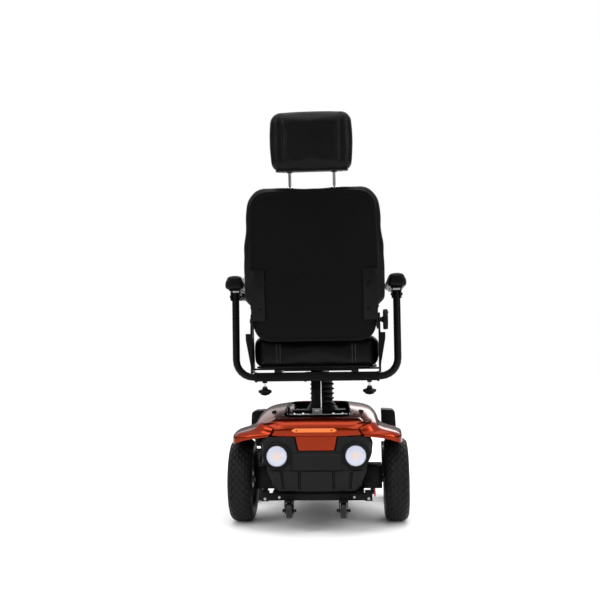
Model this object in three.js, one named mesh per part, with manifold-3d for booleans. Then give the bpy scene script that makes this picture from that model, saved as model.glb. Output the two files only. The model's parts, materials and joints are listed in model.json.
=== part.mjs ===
// Rear-wheel-drive power wheelchair with a post-mounted captain's seat.
// Millimetres, +Z up, +Y the way the occupant faces, +X the occupant's right.
// The origin is on the floor, under the middle of the chair's length and width.
import * as THREE from "three";
import { mergeVertices } from "three/addons/utils/BufferGeometryUtils.js";
import Module from "manifold-3d";

const wasm = await Module();
wasm.setup();
const { Manifold, Mesh: SolidMesh } = wasm;

// ---------- driving dimensions ----------
const SEAT_GAP = 0.3; // between a piece and what it sits on
const RUN_GAP = 0.4; // between a shaft and its bore
const MID_X = 10; // the lift post stands this far right of the middle

const drive = { radius: 143, width: 82, tread: 44, x: 268, y: -240, segments: 36 };
const rim = { radius: 88, dish: 27, hub: 30, web: 7, shaft: 12, shaftLength: 62 };
const gearbox = { x0: 150, x1: 219, depth: 96, height: 104 };
const motor = { radius: 40, length: 128 };

const lever = { x: 178, y: -272, z: 106, pin: 5, lug: 10.6, length: 46, width: 5 };

const caster = { radius: 100, width: 46, trail: 38, x: 262, y: 215, hub: 62, segments: 24 };
const fork = { leg: 5, gap: 4, crownZ: 208, crown: 14, stem: 9, axle: 6 };
const barrel = { radius: 22, z0: 234, z1: 304 };
const beam = { z0: 246, z1: 274, depth: 30 };
const casterCover = { width: 58, depth: 92, height: 76 };

const tray = { half: 156, y0: -340, y1: 118, z0: 105, z1: 117 };
const rearBar = { half: 182, y: -441, size: 22, z: 116 };
const antiTip = { radius: 26, width: 20, x: 88, y: -485, leg: 3, gap: 2, bolt: 4 };

const battery = { width: 138, length: 196, height: 160, x: 84, y: 14 };
const powerModule = { width: 130, length: 130, height: 28 };

const post = { y: -125, outer: 32, inner: 27, top: 392, stroke: 150 };
const guide = { x: -6, width: 42, depth: 24, y: -187, z0: 150 };
const bracket = { half: 115, z0: 346, z1: 366, upright: 12 };
const bellows = { z0: 394, outer: 45, valley: 38, bore: 31, folds: 6 };

const seat = { width: 428, depth: 442, y0: -352, z0: 536, thickness: 104 };
const frameRail = { x: 132, width: 25, height: 15 };
const receiver = { half: 213, size: 30, bore: 26.4, y: -310, z: 505 };
const armTube = { radius: 12.7, x: 280, bend: 60, top: 800, inner: 62 };
const clamp = { x: 181, stud: 4, knob: 22.5, nut: 16, nutHeight: 6 };

const hinge = { y: -365, z: 698, pin: 8, plate: 6, recline: 8 };
const gusset = { width: 22, top: 655 };
const shell = { low: -61, high: 436, half: 212, lowHalf: 204, y0: -60, y1: -46, corner: 66 };
const backPad = { low: -42, high: 449, half: 238, lowHalf: 204, topHalf: 214, front: 40 };
const recliner = { inner: 207, web: 5, flange: 47, high: 178 };
const handWheel = { radius: 35, width: 16, hub: 10, x: 230 };

const headrest = { half: 132, low: 500, high: 696, y0: -58, y1: 32, corner: 34 };
const headPost = { radius: 5, x: 74, y: -20, low: 379, high: 567, drop: 45 };

const pad = { width: 67, topWidth: 54, skirt: 24, height: 47, y0: -348, y1: -78, z0: 810 };
const padHinge = { z: 786, plate: 3.5, pin: 5 };
const pod = { width: 64, length: 100, y0: -70, z0: 788, height: 46, hole: 22 };
const stick = { ball: 15, z: 826, radius: 3.5, knob: 11, high: 872 };

const footplate = { half: 130, y0: 345, y1: 519, z: 98, thick: 7, pin: 6, lug: 38 };
const lampSpec = { x: 130, z: 250, radius: 36, y: -452, depth: 22 };

// ---------- materials ----------
const material = (color, roughness, metalness = 0) =>
  new THREE.MeshStandardMaterial({ color, roughness, metalness });
const blackPlastic = material(0x17181a, 0.55);
const blackSteel = material(0x101113, 0.4, 0.6);
const brightSteel = material(0xb9bcc0, 0.3, 1);
const rubber = material(0x141415, 0.85);
const paint = material(0x8a2a08, 0.25, 0.4);
const vinyl = material(0x0e0e0f, 0.5);
const lens = material(0xe6e8ee, 0.15);
const redPlastic = material(0xc03010, 0.4);

// ---------- solids ----------
// A closed three.js geometry as a solid that can be joined and cut.
function solidOf(geometry) {
  const bare = geometry.index ? geometry.toNonIndexed() : geometry.clone();
  for (const name of Object.keys(bare.attributes)) {
    if (name !== "position") bare.deleteAttribute(name);
  }
  const merged = mergeVertices(bare, 1e-3);
  const made = new Manifold(
    new SolidMesh({
      numProp: 3,
      vertProperties: new Float32Array(merged.attributes.position.array),
      triVerts: new Uint32Array(merged.index.array),
    }),
  );
  if (made.volume() > 0) return made;
  const turned = new Uint32Array(merged.index.array);
  for (let i = 0; i < turned.length; i += 3) {
    [turned[i + 1], turned[i + 2]] = [turned[i + 2], turned[i + 1]];
  }
  return new Manifold(
    new SolidMesh({
      numProp: 3,
      vertProperties: new Float32Array(merged.attributes.position.array),
      triVerts: turned,
    }),
  );
}

function geometryOf(solid) {
  const mesh = solid.getMesh();
  const flat = new Float32Array(mesh.numVert * 3);
  for (let i = 0; i < mesh.numVert; i++) {
    flat.set(mesh.vertProperties.subarray(i * mesh.numProp, i * mesh.numProp + 3), i * 3);
  }
  const geometry = new THREE.BufferGeometry();
  geometry.setAttribute("position", new THREE.BufferAttribute(flat, 3));
  geometry.setIndex(new THREE.BufferAttribute(new Uint32Array(mesh.triVerts), 1));
  geometry.computeVertexNormals();
  return geometry;
}

const join = (...solids) => solids.reduce((a, b) => a.add(b));
const cut = (solid, ...tools) => tools.reduce((a, b) => a.subtract(b), solid);

// A box from its lowest corner to its highest.
function block(x0, x1, y0, y1, z0, z1) {
  const geometry = new THREE.BoxGeometry(x1 - x0, y1 - y0, z1 - z0);
  geometry.translate((x0 + x1) / 2, (y0 + y1) / 2, (z0 + z1) / 2);
  return solidOf(geometry);
}

// A cylinder between two points.
function rod(radius, from, to, segments = 20) {
  const a = new THREE.Vector3(...from);
  const b = new THREE.Vector3(...to);
  const along = b.clone().sub(a);
  const geometry = new THREE.CylinderGeometry(radius, radius, along.length(), segments);
  const turn = new THREE.Quaternion().setFromUnitVectors(
    new THREE.Vector3(0, 1, 0),
    along.clone().normalize(),
  );
  geometry.applyQuaternion(turn);
  geometry.translate(...a.add(b).multiplyScalar(0.5).toArray());
  return solidOf(geometry);
}

// A round bar bent through points that share one Y.
function bentRod(radius, points, segments) {
  const position = [];
  const index = [];
  points.forEach((point, i) => {
    const before = points[Math.max(i - 1, 0)];
    const after = points[Math.min(i + 1, points.length - 1)];
    const along = after.clone().sub(before).normalize();
    const out = new THREE.Vector3(0, 1, 0).cross(along);
    for (let k = 0; k < segments; k++) {
      const a = (2 * Math.PI * k) / segments;
      position.push(
        point.x + radius * Math.cos(a) * out.x,
        point.y + radius * Math.sin(a),
        point.z + radius * Math.cos(a) * out.z,
      );
    }
  });
  const last = (points.length - 1) * segments;
  for (let k = 0; k < segments; k++) {
    const next = (k + 1) % segments;
    for (let base = 0; base < last; base += segments) {
      index.push(base + k, base + next, base + segments + k);
      index.push(base + next, base + segments + next, base + segments + k);
    }
    if (k > 0 && k < segments - 1) {
      index.push(0, next, k);
      index.push(last, last + k, last + next);
    }
  }
  const geometry = new THREE.BufferGeometry();
  geometry.setAttribute("position", new THREE.Float32BufferAttribute(position, 3));
  geometry.setIndex(index);
  return solidOf(geometry);
}

// A ring or disc turned about X: profile points are [radius, x].
function turnedAboutX(profile, segments, centre) {
  const geometry = new THREE.LatheGeometry(
    profile.map(([r, x]) => new THREE.Vector2(r, x)),
    segments,
    Math.PI / segments,
  );
  geometry.rotateZ(-Math.PI / 2);
  geometry.translate(...centre);
  return solidOf(geometry);
}

// The same about Z: profile points are [radius, z].
function turnedAboutZ(profile, segments, centre) {
  const geometry = new THREE.LatheGeometry(
    profile.map(([r, z]) => new THREE.Vector2(r, z)),
    segments,
  );
  geometry.rotateX(Math.PI / 2);
  geometry.translate(...centre);
  return solidOf(geometry);
}

// An outline in X and Z, given depth along Y.
function slabXZ(points, y0, y1) {
  const shape = new THREE.Shape(points.map(([x, z]) => new THREE.Vector2(x, z)));
  const geometry = new THREE.ExtrudeGeometry(shape, { depth: y1 - y0, bevelEnabled: false });
  geometry.rotateX(Math.PI / 2);
  geometry.translate(0, y1, 0);
  return solidOf(geometry);
}

// An outline in Y and Z, given width along X.
function slabYZ(points, x0, x1) {
  const shape = new THREE.Shape(points.map(([y, z]) => new THREE.Vector2(y, z)));
  const geometry = new THREE.ExtrudeGeometry(shape, { depth: x1 - x0, bevelEnabled: false });
  geometry.rotateY(Math.PI / 2);
  geometry.rotateX(Math.PI / 2);
  geometry.translate(x0, 0, 0);
  return solidOf(geometry);
}

// Rounds the corners of a polygon that is listed in order; each corner is [x, z, radius].
function rounded(corners, steps = 4) {
  const points = [];
  corners.forEach(([x, z, radius], i) => {
    const here = new THREE.Vector2(x, z);
    const before = new THREE.Vector2(...corners.at(i - 1).slice(0, 2)).sub(here);
    const after = new THREE.Vector2(...corners[(i + 1) % corners.length].slice(0, 2)).sub(here);
    if (!radius) {
      points.push([x, z]);
      return;
    }
    const start = here.clone().addScaledVector(before.normalize(), radius);
    const end = here.clone().addScaledVector(after.normalize(), radius);
    const curve = new THREE.QuadraticBezierCurve(start, here, end);
    curve.getPoints(steps).forEach((p) => points.push([p.x, p.y]));
  });
  return points;
}

// Cross sections of the same number of points, joined one to the next and closed at both ends.
function loft(sections) {
  const count = sections[0].length;
  const position = sections.flat(2);
  const index = [];
  for (let s = 0; s + 1 < sections.length; s++) {
    for (let i = 0; i < count; i++) {
      const a = s * count + i;
      const b = s * count + ((i + 1) % count);
      index.push(a, b, a + count, b, b + count, a + count);
    }
  }
  const flat = sections[0].map(([x, , z]) => new THREE.Vector2(x, z));
  const caps = THREE.ShapeUtils.triangulateShape(flat, []);
  const windsUp = THREE.ShapeUtils.area(flat) > 0;
  const lastBase = (sections.length - 1) * count;
  for (const [a, b, c] of caps) {
    const [i, j, k] = windsUp ? [a, c, b] : [a, b, c];
    index.push(i, j, k);
    index.push(lastBase + i, lastBase + k, lastBase + j);
  }
  const geometry = new THREE.BufferGeometry();
  geometry.setAttribute("position", new THREE.Float32BufferAttribute(position, 3));
  geometry.setIndex(index);
  return solidOf(geometry);
}

// ---------- the assembly ----------
const chair = new THREE.Group();
const backGroup = new THREE.Group();
backGroup.position.set(0, hinge.y, hinge.z);
backGroup.rotation.x = THREE.MathUtils.degToRad(hinge.recline);
chair.add(backGroup);

function add(name, solid, finish, parent = chair) {
  const mesh = new THREE.Mesh(geometryOf(solid), finish);
  mesh.name = name;
  parent.add(mesh);
}

const sides = [
  ["left", -1],
  ["right", 1],
];

// Mirrors a solid drawn for the right-hand side onto the side that is asked for.
function onSide(solid, side) {
  return side < 0 ? solid.mirror([1, 0, 0]) : solid;
}

// ---------- drive wheels ----------
function driveTyre() {
  const apothem = Math.cos(Math.PI / drive.segments);
  const half = drive.width / 2;
  const profile = [
    [rim.radius + SEAT_GAP, -rim.dish],
    [rim.radius + 20, 1 - half],
    [rim.radius + 36, -half],
    [drive.radius - 7, 7 - half],
    [drive.radius, -drive.tread / 2],
    [drive.radius, drive.tread / 2],
    [drive.radius - 7, half - 7],
    [rim.radius + 36, half],
    [rim.radius + 20, half - 1],
    [rim.radius + SEAT_GAP, rim.dish],
    [rim.radius + SEAT_GAP, -rim.dish],
  ].map(([r, x]) => [r / apothem, x]);
  return turnedAboutX(profile, drive.segments, [drive.x, drive.y, drive.radius]);
}

function driveRim() {
  const lip = rim.radius - 8;
  const profile = [
    [0, -rim.dish - 6],
    [rim.hub, -rim.dish - 6],
    [rim.hub, -rim.web],
    [lip, -rim.web],
    [lip, -rim.dish],
    [rim.radius, -rim.dish],
    [rim.radius, rim.dish],
    [lip, rim.dish],
    [lip, rim.web],
    [rim.hub, rim.web],
    [rim.hub, rim.dish],
    [0, rim.dish],
  ];
  const disc = turnedAboutX(profile, 24, [drive.x, drive.y, drive.radius]);
  const inner = drive.x - rim.dish - 6 - rim.shaftLength + 8;
  const shaft = rod(rim.shaft, [inner, drive.y, drive.radius], [drive.x, drive.y, drive.radius]);
  return join(disc, shaft);
}

function driveMotor() {
  const { x0, x1, depth, height } = gearbox;
  const z = drive.radius;
  const box = block(x0, x1, drive.y - depth / 2, drive.y + depth / 2, tray.z1 + SEAT_GAP, z + height / 2);
  const can = rod(motor.radius, [x0 - motor.length, drive.y, z + 18], [x0 + 2, drive.y, z + 18], 24);
  const lug = block(
    lever.x + 1, lever.x + 1 + lever.lug,
    lever.y - 10, lever.y + 10, lever.z - 10, tray.z1 + 5,
  );
  const lugBore = rod(
    lever.pin + RUN_GAP,
    [lever.x - 5, lever.y, lever.z],
    [lever.x + 20, lever.y, lever.z],
    12,
  );
  const boreLength = rim.shaftLength;
  const bore = rod(rim.shaft + RUN_GAP, [x1 - boreLength, drive.y, z], [x1 + 5, drive.y, z]);
  return cut(join(box, can, lug), bore, lugBore);
}

for (const [label, side] of sides) {
  add(`drive_tyre_${label}`, onSide(driveTyre(), side), rubber);
  add(`drive_rim_${label}`, onSide(driveRim(), side), blackPlastic);
  add(`drive_motor_${label}`, onSide(driveMotor(), side), blackSteel);
}

// Freewheel lever on each gearbox: lifts to uncouple the motor.
function freewheelLever() {
  const { x, y, z, pin: radius, length, width } = lever;
  const arm = block(x + 12, x + 12 + width, y - length, y + 8, z - 12, z + 8);
  const pin = rod(radius, [x, y, z], [x + 14, y, z], 12);
  return join(arm, pin);
}
for (const [label, side] of sides) {
  add(`freewheel_lever_${label}`, onSide(freewheelLever(), side), redPlastic);
}

// ---------- frame ----------
function mainFrame() {
  const { y: rearY, size, z: rearZ, half } = rearBar;
  const zLow = rearZ - size / 2;
  const zHigh = rearZ + size / 2;
  const parts = [
    block(-tray.half, tray.half, tray.y0, tray.y1, tray.z0, tray.z1),
    block(-half, half, rearY - size / 2, rearY + size / 2, zLow, zHigh),
    block(-34, 34, tray.y1 - 10, footplate.y0 - 18, tray.z0 - 18, tray.z1),
    block(-caster.x, caster.x, caster.y - beam.depth / 2, caster.y + beam.depth / 2, beam.z0, beam.z1),
  ];
  for (const side of [-1, 1]) {
    const rail = block(112, 134, rearY, tray.y0 + 20, zLow, zHigh);
    const endBlock = block(half - 24, half, rearY - 16, rearY + 18, zLow - 1, zHigh + 8);
    const upright = block(78, 100, caster.y - 15, caster.y + 15, tray.z0, beam.z0 + 4);
    const foot = block(30, 100, tray.y1 - 8, caster.y + 15, tray.z0, tray.z1);
    const housing = rod(barrel.radius, [caster.x, caster.y, barrel.z0], [caster.x, caster.y, barrel.z1]);
    const column = block(
      bracket.half - bracket.upright, bracket.half,
      guide.y - 8, post.y - post.outer - 6, tray.z1 - 2, bracket.z1 - 2,
    );
    for (const piece of [rail, endBlock, upright, foot, housing, column]) parts.push(onSide(piece, side));
  }
  const crossPlate = block(
    -bracket.half, bracket.half,
    guide.y - guide.depth / 2 - 12, post.y - post.outer - 6, bracket.z0, bracket.z1,
  );
  parts.push(crossPlate);
  const lug = block(
    -footplate.lug, footplate.lug,
    footplate.y0 - 26, footplate.y0 + 11, footplate.z - 11, footplate.z + 11,
  );
  const pin = rod(footplate.pin, [-62, footplate.y0, footplate.z], [62, footplate.y0, footplate.z]);
  parts.push(lug, pin);
  const slot = block(
    guide.x - guide.width / 2 - RUN_GAP, guide.x + guide.width / 2 + RUN_GAP,
    guide.y - guide.depth / 2 - RUN_GAP, guide.y + guide.depth / 2 + RUN_GAP, 0, 900,
  );
  const bores = [-1, 1].map((side) =>
    rod(
      fork.stem + RUN_GAP,
      [side * caster.x, caster.y, barrel.z0 - 5],
      [side * caster.x, caster.y, barrel.z1 + 5],
    ),
  );
  return cut(join(...parts), slot, ...bores);
}
add("main_frame", mainFrame(), blackSteel);

for (const [label, side] of sides) {
  const { width, length, height, x, y } = battery;
  const z0 = tray.z1 + SEAT_GAP;
  const solid = block(x - width / 2, x + width / 2, y - length / 2, y + length / 2, z0, z0 + height);
  add(`battery_${label}`, onSide(solid, side), blackPlastic);
}
const moduleZ = tray.z1 + battery.height + 2 * SEAT_GAP;
add(
  "power_module",
  block(
    -powerModule.width / 2, powerModule.width / 2,
    battery.y - powerModule.length / 2, battery.y + powerModule.length / 2,
    moduleZ, moduleZ + powerModule.height,
  ),
  blackPlastic,
);

// ---------- anti-tip wheels ----------
const antiTipZ = rearBar.z - rearBar.size / 2 - antiTip.radius;
function antiTipFork() {
  const { radius, width, x, y, leg, gap, bolt } = antiTip;
  const inner = width / 2 + gap;
  const outer = inner + leg;
  const top = antiTipZ + radius + 2;
  const barRear = rearBar.y - 16 - SEAT_GAP;
  const plate = block(x - outer, x + outer, y - 18, rearBar.y - rearBar.size / 2 - SEAT_GAP, top, top + 5);
  const backFlange = block(x - outer, x + outer, barRear - 4, rearBar.y - rearBar.size / 2 - SEAT_GAP, top, top + 20);
  const outline = [
    [y - 18, top + 2],
    [y - 9, antiTipZ - 9],
    [y + 9, antiTipZ - 9],
    [y + 18, top + 2],
  ];
  const legs = [slabYZ(outline, x - outer, x - inner), slabYZ(outline, x + inner, x + outer)];
  const axle = rod(bolt, [x - outer - 4, y, antiTipZ], [x + outer + 4, y, antiTipZ], 12);
  return join(plate, backFlange, ...legs, axle);
}
function antiTipWheel() {
  const { radius, width, x, y, bolt } = antiTip;
  const bore = bolt + RUN_GAP;
  const half = width / 2;
  const profile = [
    [bore, -half],
    [radius - 4, -half],
    [radius, 3 - half],
    [radius, half - 3],
    [radius - 4, half],
    [bore, half],
    [bore, -half],
  ];
  return turnedAboutX(profile, 20, [x, y, antiTipZ]);
}
for (const [label, side] of sides) {
  add(`anti_tip_fork_${label}`, onSide(antiTipFork(), side), blackSteel);
  add(`anti_tip_wheel_${label}`, onSide(antiTipWheel(), side), rubber);
}

// ---------- front casters ----------
const casterAxle = [caster.x, caster.y - caster.trail, caster.radius];
function casterFork() {
  const inner = caster.width / 2 + fork.gap;
  const outer = inner + fork.leg;
  const [x, axleY, axleZ] = casterAxle;
  const crown = block(x - outer, x + outer, caster.y - 26, caster.y + 24, fork.crownZ, fork.crownZ + fork.crown);
  const outline = rounded([
    [caster.y + 24, fork.crownZ + 8, 0],
    [caster.y - 26, fork.crownZ + 8, 0],
    [axleY - 15, axleZ - 14, 10],
    [axleY + 15, axleZ - 14, 10],
  ], 2);
  const legs = [slabYZ(outline, x - outer, x - inner), slabYZ(outline, x + inner, x + outer)];
  const stem = rod(fork.stem, [x, caster.y, fork.crownZ + 2], [x, caster.y, barrel.z1 - 4]);
  const shoulder = rod(barrel.radius - 4, [x, caster.y, fork.crownZ + 2], [x, caster.y, barrel.z0 - SEAT_GAP]);
  const axle = rod(fork.axle, [x - outer - 5, axleY, axleZ], [x + outer + 5, axleY, axleZ], 12);
  return join(crown, ...legs, shoulder, stem, axle);
}
function casterTyre() {
  const half = caster.width / 2;
  const apothem = Math.cos(Math.PI / caster.segments);
  const bed = caster.hub + SEAT_GAP;
  const profile = [
    [bed, -half + 4],
    [bed + 14, -half],
    [caster.radius - 9, 2 - half],
    [caster.radius, 9 - half],
    [caster.radius, half - 9],
    [caster.radius - 9, half - 2],
    [bed + 14, half],
    [bed, half - 4],
    [bed, -half + 4],
  ].map(([r, x]) => [r / apothem, x]);
  return turnedAboutX(profile, caster.segments, casterAxle);
}
function casterHub() {
  const bore = fork.axle + RUN_GAP;
  const half = caster.width / 2;
  const profile = [
    [bore, -half - 2],
    [18, -half - 2],
    [18, -5],
    [caster.hub - 8, -5],
    [caster.hub - 8, 3 - half],
    [caster.hub, 3 - half],
    [caster.hub, half - 3],
    [caster.hub - 8, half - 3],
    [caster.hub - 8, 5],
    [18, 5],
    [18, half + 2],
    [bore, half + 2],
    [bore, -half - 2],
  ];
  return turnedAboutX(profile, 20, casterAxle);
}
function casterCap() {
  const { width, depth, height } = casterCover;
  const z0 = beam.z1 + SEAT_GAP;
  const x1 = caster.x + barrel.radius + 6;
  const outline = rounded([
    [x1 - width, z0, 0],
    [x1, z0, 0],
    [x1 - 4, z0 + height, 14],
    [x1 - width, z0 + height + 4, 8],
  ], 3);
  const outer = slabXZ(outline, caster.y - depth / 2, caster.y + depth / 2);
  const well = rod(
    barrel.radius + 1,
    [caster.x, caster.y, z0 - 5],
    [caster.x, caster.y, barrel.z1 + 3],
  );
  return cut(outer, well);
}
for (const [label, side] of sides) {
  add(`caster_fork_${label}`, onSide(casterFork(), side), blackSteel);
  add(`caster_tyre_${label}`, onSide(casterTyre(), side), rubber);
  add(`caster_hub_${label}`, onSide(casterHub(), side), blackPlastic);
  add(`caster_cover_${label}`, onSide(casterCap(), side), blackPlastic);
}

// ---------- body shroud ----------
// Each station is [y, top z, top half width, wall half width, wall foot z, fender half width, fender z, hem z].
const stations = [
  [-436, 345, 128, 150, 322, 158, 318, 312],
  [-420, 360, 160, 192, 326, 236, 314, 300],
  [-396, 367, 172, 206, 334, 276, 316, 286],
  [-330, 382, 176, 208, 338, 284, 318, 290],
  [-240, 396, 178, 210, 338, 286, 316, 296],
  [-150, 402, 178, 208, 330, 282, 304, 288],
  [-84, 402, 174, 206, 318, 240, 292, 280],
  [0, 396, 168, 204, 300, 210, 284, 276],
  [110, 376, 150, 196, 290, 202, 284, 279],
  [210, 342, 124, 176, 286, 182, 282, 279],
  [280, 308, 100, 132, 288, 136, 284, 279],
  [322, 286, 78, 96, 281, 98, 280, 279],
];
const WALL = 4;
const batteryWall = battery.x + battery.width / 2 + 5;
function shroudSection([y, top, topHalf, wallHalf, wallZ, fenderHalf, fenderZ, hem], inset, drop) {
  const right = [
    [topHalf * 0.5, top - inset],
    [topHalf - inset * 0.6, top - 12 - inset],
    [(topHalf + wallHalf) / 2 + 6 - inset, (top + wallZ) / 2 + 4 - inset * 0.6],
    [wallHalf - inset, wallZ - inset],
    [fenderHalf - inset, fenderZ - inset],
    [fenderHalf - inset, hem - drop],
  ];
  const left = right.map(([x, z]) => [-x, z]).reverse();
  return [...left, ...right].map(([x, z]) => [x, y, z]);
}
function bodyShroud() {
  const skin = loft(stations.map((s) => shroudSection(s, 0, 0)));
  const hollowStations = stations.map((s) => [...s]);
  hollowStations[0][0] += WALL;
  hollowStations.at(-1)[0] -= WALL;
  const hollow = loft(hollowStations.map((s) => shroudSection(s, WALL, 60)));
  const noseOuter = slabYZ([[113, 118], [286, 118], [322, 200], [322, 283], [113, 283]], -112, 112);
  const noseInner = slabYZ([[100, 100], [282, 100], [318, 198], [318, 290], [100, 290]], -108, 108);
  const walls = join(
    ...[-1, 1].map((side) => onSide(join(
      block(batteryWall, batteryWall + WALL, -64, 113 + WALL, 118, 420),
      block(108, batteryWall + WALL, 113, 113 + WALL, 118, 420),
    ), side)),
  );
  const sideSkin = walls.intersect(join(skin, block(-230, 230, -100, 130, 100, 290)));
  const arch = (side) =>
    turnedAboutX(
      [[0, -60], [drive.radius + 14, -60], [drive.radius + 14, 60], [0, 60]],
      36,
      [side * (drive.x + 14), drive.y, drive.radius],
    );
  const opening = slabXYHole();
  const shellPart = cut(join(skin, noseOuter), hollow, noseInner, arch(1), arch(-1), opening);
  const clearBeam = block(
    -caster.x, caster.x,
    caster.y - beam.depth / 2 - 2, caster.y + beam.depth / 2 + 2, beam.z0 - 2, beam.z1 + 3,
  );
  const rearNotch = block(-200, 200, -470, -410, 200, 311);
  return cut(join(shellPart, sideSkin), clearBeam, rearNotch);
}
// The opening in the shroud's top, round the lift post and its guide.
function slabXYHole() {
  const corners = rounded([[-118, -392, 40], [118, -392, 40], [104, -72, 36], [-104, -72, 36]], 4);
  const shape = new THREE.Shape(corners.map(([x, y]) => new THREE.Vector2(x, y)));
  const geometry = new THREE.ExtrudeGeometry(shape, { depth: 200, bevelEnabled: false });
  geometry.translate(0, 0, 300);
  return solidOf(geometry);
}
add("body_shroud", bodyShroud(), paint);

// ---------- rear bumper and its lamps ----------
function rearBumper() {
  const barTop = rearBar.z + rearBar.size / 2 + SEAT_GAP;
  const face = rounded([
    [-128, barTop, 16],
    [128, barTop, 16],
    [164, 202, 6],
    [188, 276, 16],
    [170, 311, 18],
    [-170, 311, 18],
    [-188, 276, 16],
    [-164, 202, 6],
  ], 3);
  const body = slabXZ(face, -452, -398);
  const hollow = slabXZ(face.map(([x, z]) => [x * 0.96, (z - 220) * 0.95 + 220]), -446, -390);
  const step = slabXZ([[-88, 204], [88, 204], [80, 262], [-80, 262]], -458, -450);
  const pocket = slabXZ([[-60, 264], [60, 264], [70, 320], [-70, 320]], -470, -436);
  const pocketBack = slabXZ([[-64, 260], [64, 260], [74, 309], [-74, 309]], -438, -432);
  const lampHoles = [-1, 1].map((side) =>
    rod(
      lampSpec.radius + RUN_GAP,
      [side * lampSpec.x, -470, lampSpec.z],
      [side * lampSpec.x, -380, lampSpec.z],
      24,
    ),
  );
  const bushes = [-1, 1].map((side) =>
    rod(
      lampSpec.radius + 8,
      [side * lampSpec.x, -456, lampSpec.z],
      [side * lampSpec.x, -430, lampSpec.z],
      24,
    ),
  );
  return cut(join(cut(body, hollow), step, ...bushes, pocketBack), pocket, ...lampHoles);
}
add("rear_bumper", rearBumper(), blackPlastic);

function tailLamp() {
  const { radius, depth, x, y, z } = lampSpec;
  const geometry = new THREE.LatheGeometry(
    [[0, 0], [radius - 4, 0], [radius, 6], [radius, depth - 8], [radius - 10, depth - 1], [0, depth + 2]].map(
      ([r, h]) => new THREE.Vector2(r, h),
    ),
    24,
  );
  geometry.rotateX(Math.PI);
  geometry.translate(x, y + depth - 6, z);
  return solidOf(geometry);
}
for (const [label, side] of sides) add(`tail_lamp_${label}`, onSide(tailLamp(), side), lens);

// ---------- seat lift ----------
const postAt = (r, z0, z1, segments = 24) => rod(r, [MID_X, post.y, z0], [MID_X, post.y, z1], segments);
add(
  "lift_outer_post",
  cut(postAt(post.outer, tray.z1 + SEAT_GAP, post.top), postAt(post.inner + RUN_GAP, tray.z1 + 6, post.top + 5)),
  blackSteel,
);
const seatPlateZ = seat.z0 - SEAT_GAP - frameRail.height;
add("lift_inner_post", postAt(post.inner, post.top - post.stroke - 60, seatPlateZ - SEAT_GAP), brightSteel);
add(
  "lift_guide_rail",
  block(
    guide.x - guide.width / 2, guide.x + guide.width / 2,
    guide.y - guide.depth / 2, guide.y + guide.depth / 2, guide.z0, seatPlateZ - SEAT_GAP,
  ),
  blackSteel,
);
function liftBellows() {
  const top = seatPlateZ - 8;
  const pitch = (top - bellows.z0) / bellows.folds;
  const profile = [[bellows.bore, bellows.z0]];
  for (let i = 0; i < bellows.folds; i++) {
    profile.push([bellows.valley, bellows.z0 + i * pitch]);
    profile.push([bellows.outer, bellows.z0 + (i + 0.5) * pitch]);
  }
  profile.push([bellows.valley, top], [bellows.bore, top], [bellows.bore, bellows.z0]);
  return turnedAboutZ(profile, 20, [MID_X, post.y, 0]);
}
add("lift_bellows", liftBellows(), rubber);

// Black cover that closes the shroud's opening in front of and round the post.
function postCover() {
  const z0 = bracket.z1 + 4;
  const rear = guide.y + guide.depth / 2 + 2;
  const plate = slabPlan([[-96, rear - 6], [96, rear - 6], [92, -80], [-92, -80]], z0, z0 + 10);
  const rise = bellows.z0 - SEAT_GAP - z0 - 2;
  const cone = turnedAboutZ([[0, 0], [66, 0], [50, rise], [0, rise]], 20, [MID_X, post.y, z0 + 2]);
  const hole = postAt(post.outer + 1, z0 - 10, z0 + 60);
  const rearTrim = block(-200, 200, -400, rear, z0 - 10, z0 + 60);
  return cut(join(plate, cone), hole, rearTrim);
}
function slabPlan(points, z0, z1) {
  const shape = new THREE.Shape(points.map(([x, y]) => new THREE.Vector2(x, y)));
  const geometry = new THREE.ExtrudeGeometry(shape, { depth: z1 - z0, bevelEnabled: false });
  geometry.translate(0, 0, z0);
  return solidOf(geometry);
}
add("post_cover", postCover(), blackPlastic);

// ---------- seat ----------
function seatFrame() {
  const z0 = seatPlateZ;
  const z1 = z0 + frameRail.height;
  const { x, width } = frameRail;
  const y0 = seat.y0 + 8;
  const y1 = seat.y0 + seat.depth - 40;
  const parts = [block(-x, x, guide.y - 18, post.y + 40, z0, z1), block(-213.7, 213.7, y0 + 6, y0 + 30, z1 - 6, z1)];
  for (const side of [-1, 1]) parts.push(onSide(block(x - width / 2, x + width / 2, y0, y1, z0, z1), side));
  return join(...parts);
}
add("seat_frame", seatFrame(), blackSteel);

function seatCushion() {
  const half = seat.width / 2;
  const { y0, depth, z0, thickness } = seat;
  const outline = rounded([
    [y0, z0, 10],
    [y0 + depth, z0, 30],
    [y0 + depth, z0 + thickness, 40],
    [y0, z0 + thickness, 30],
  ], 3);
  const body = slabYZ(outline, -half, half);
  const plan = rounded([[-half, y0, 40], [half, y0, 40], [half, y0 + depth, 60], [-half, y0 + depth, 60]], 3);
  return body.intersect(slabPlan(plan, z0 - 1, z0 + thickness + 1));
}
add("seat_cushion", seatCushion(), vinyl);

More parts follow.
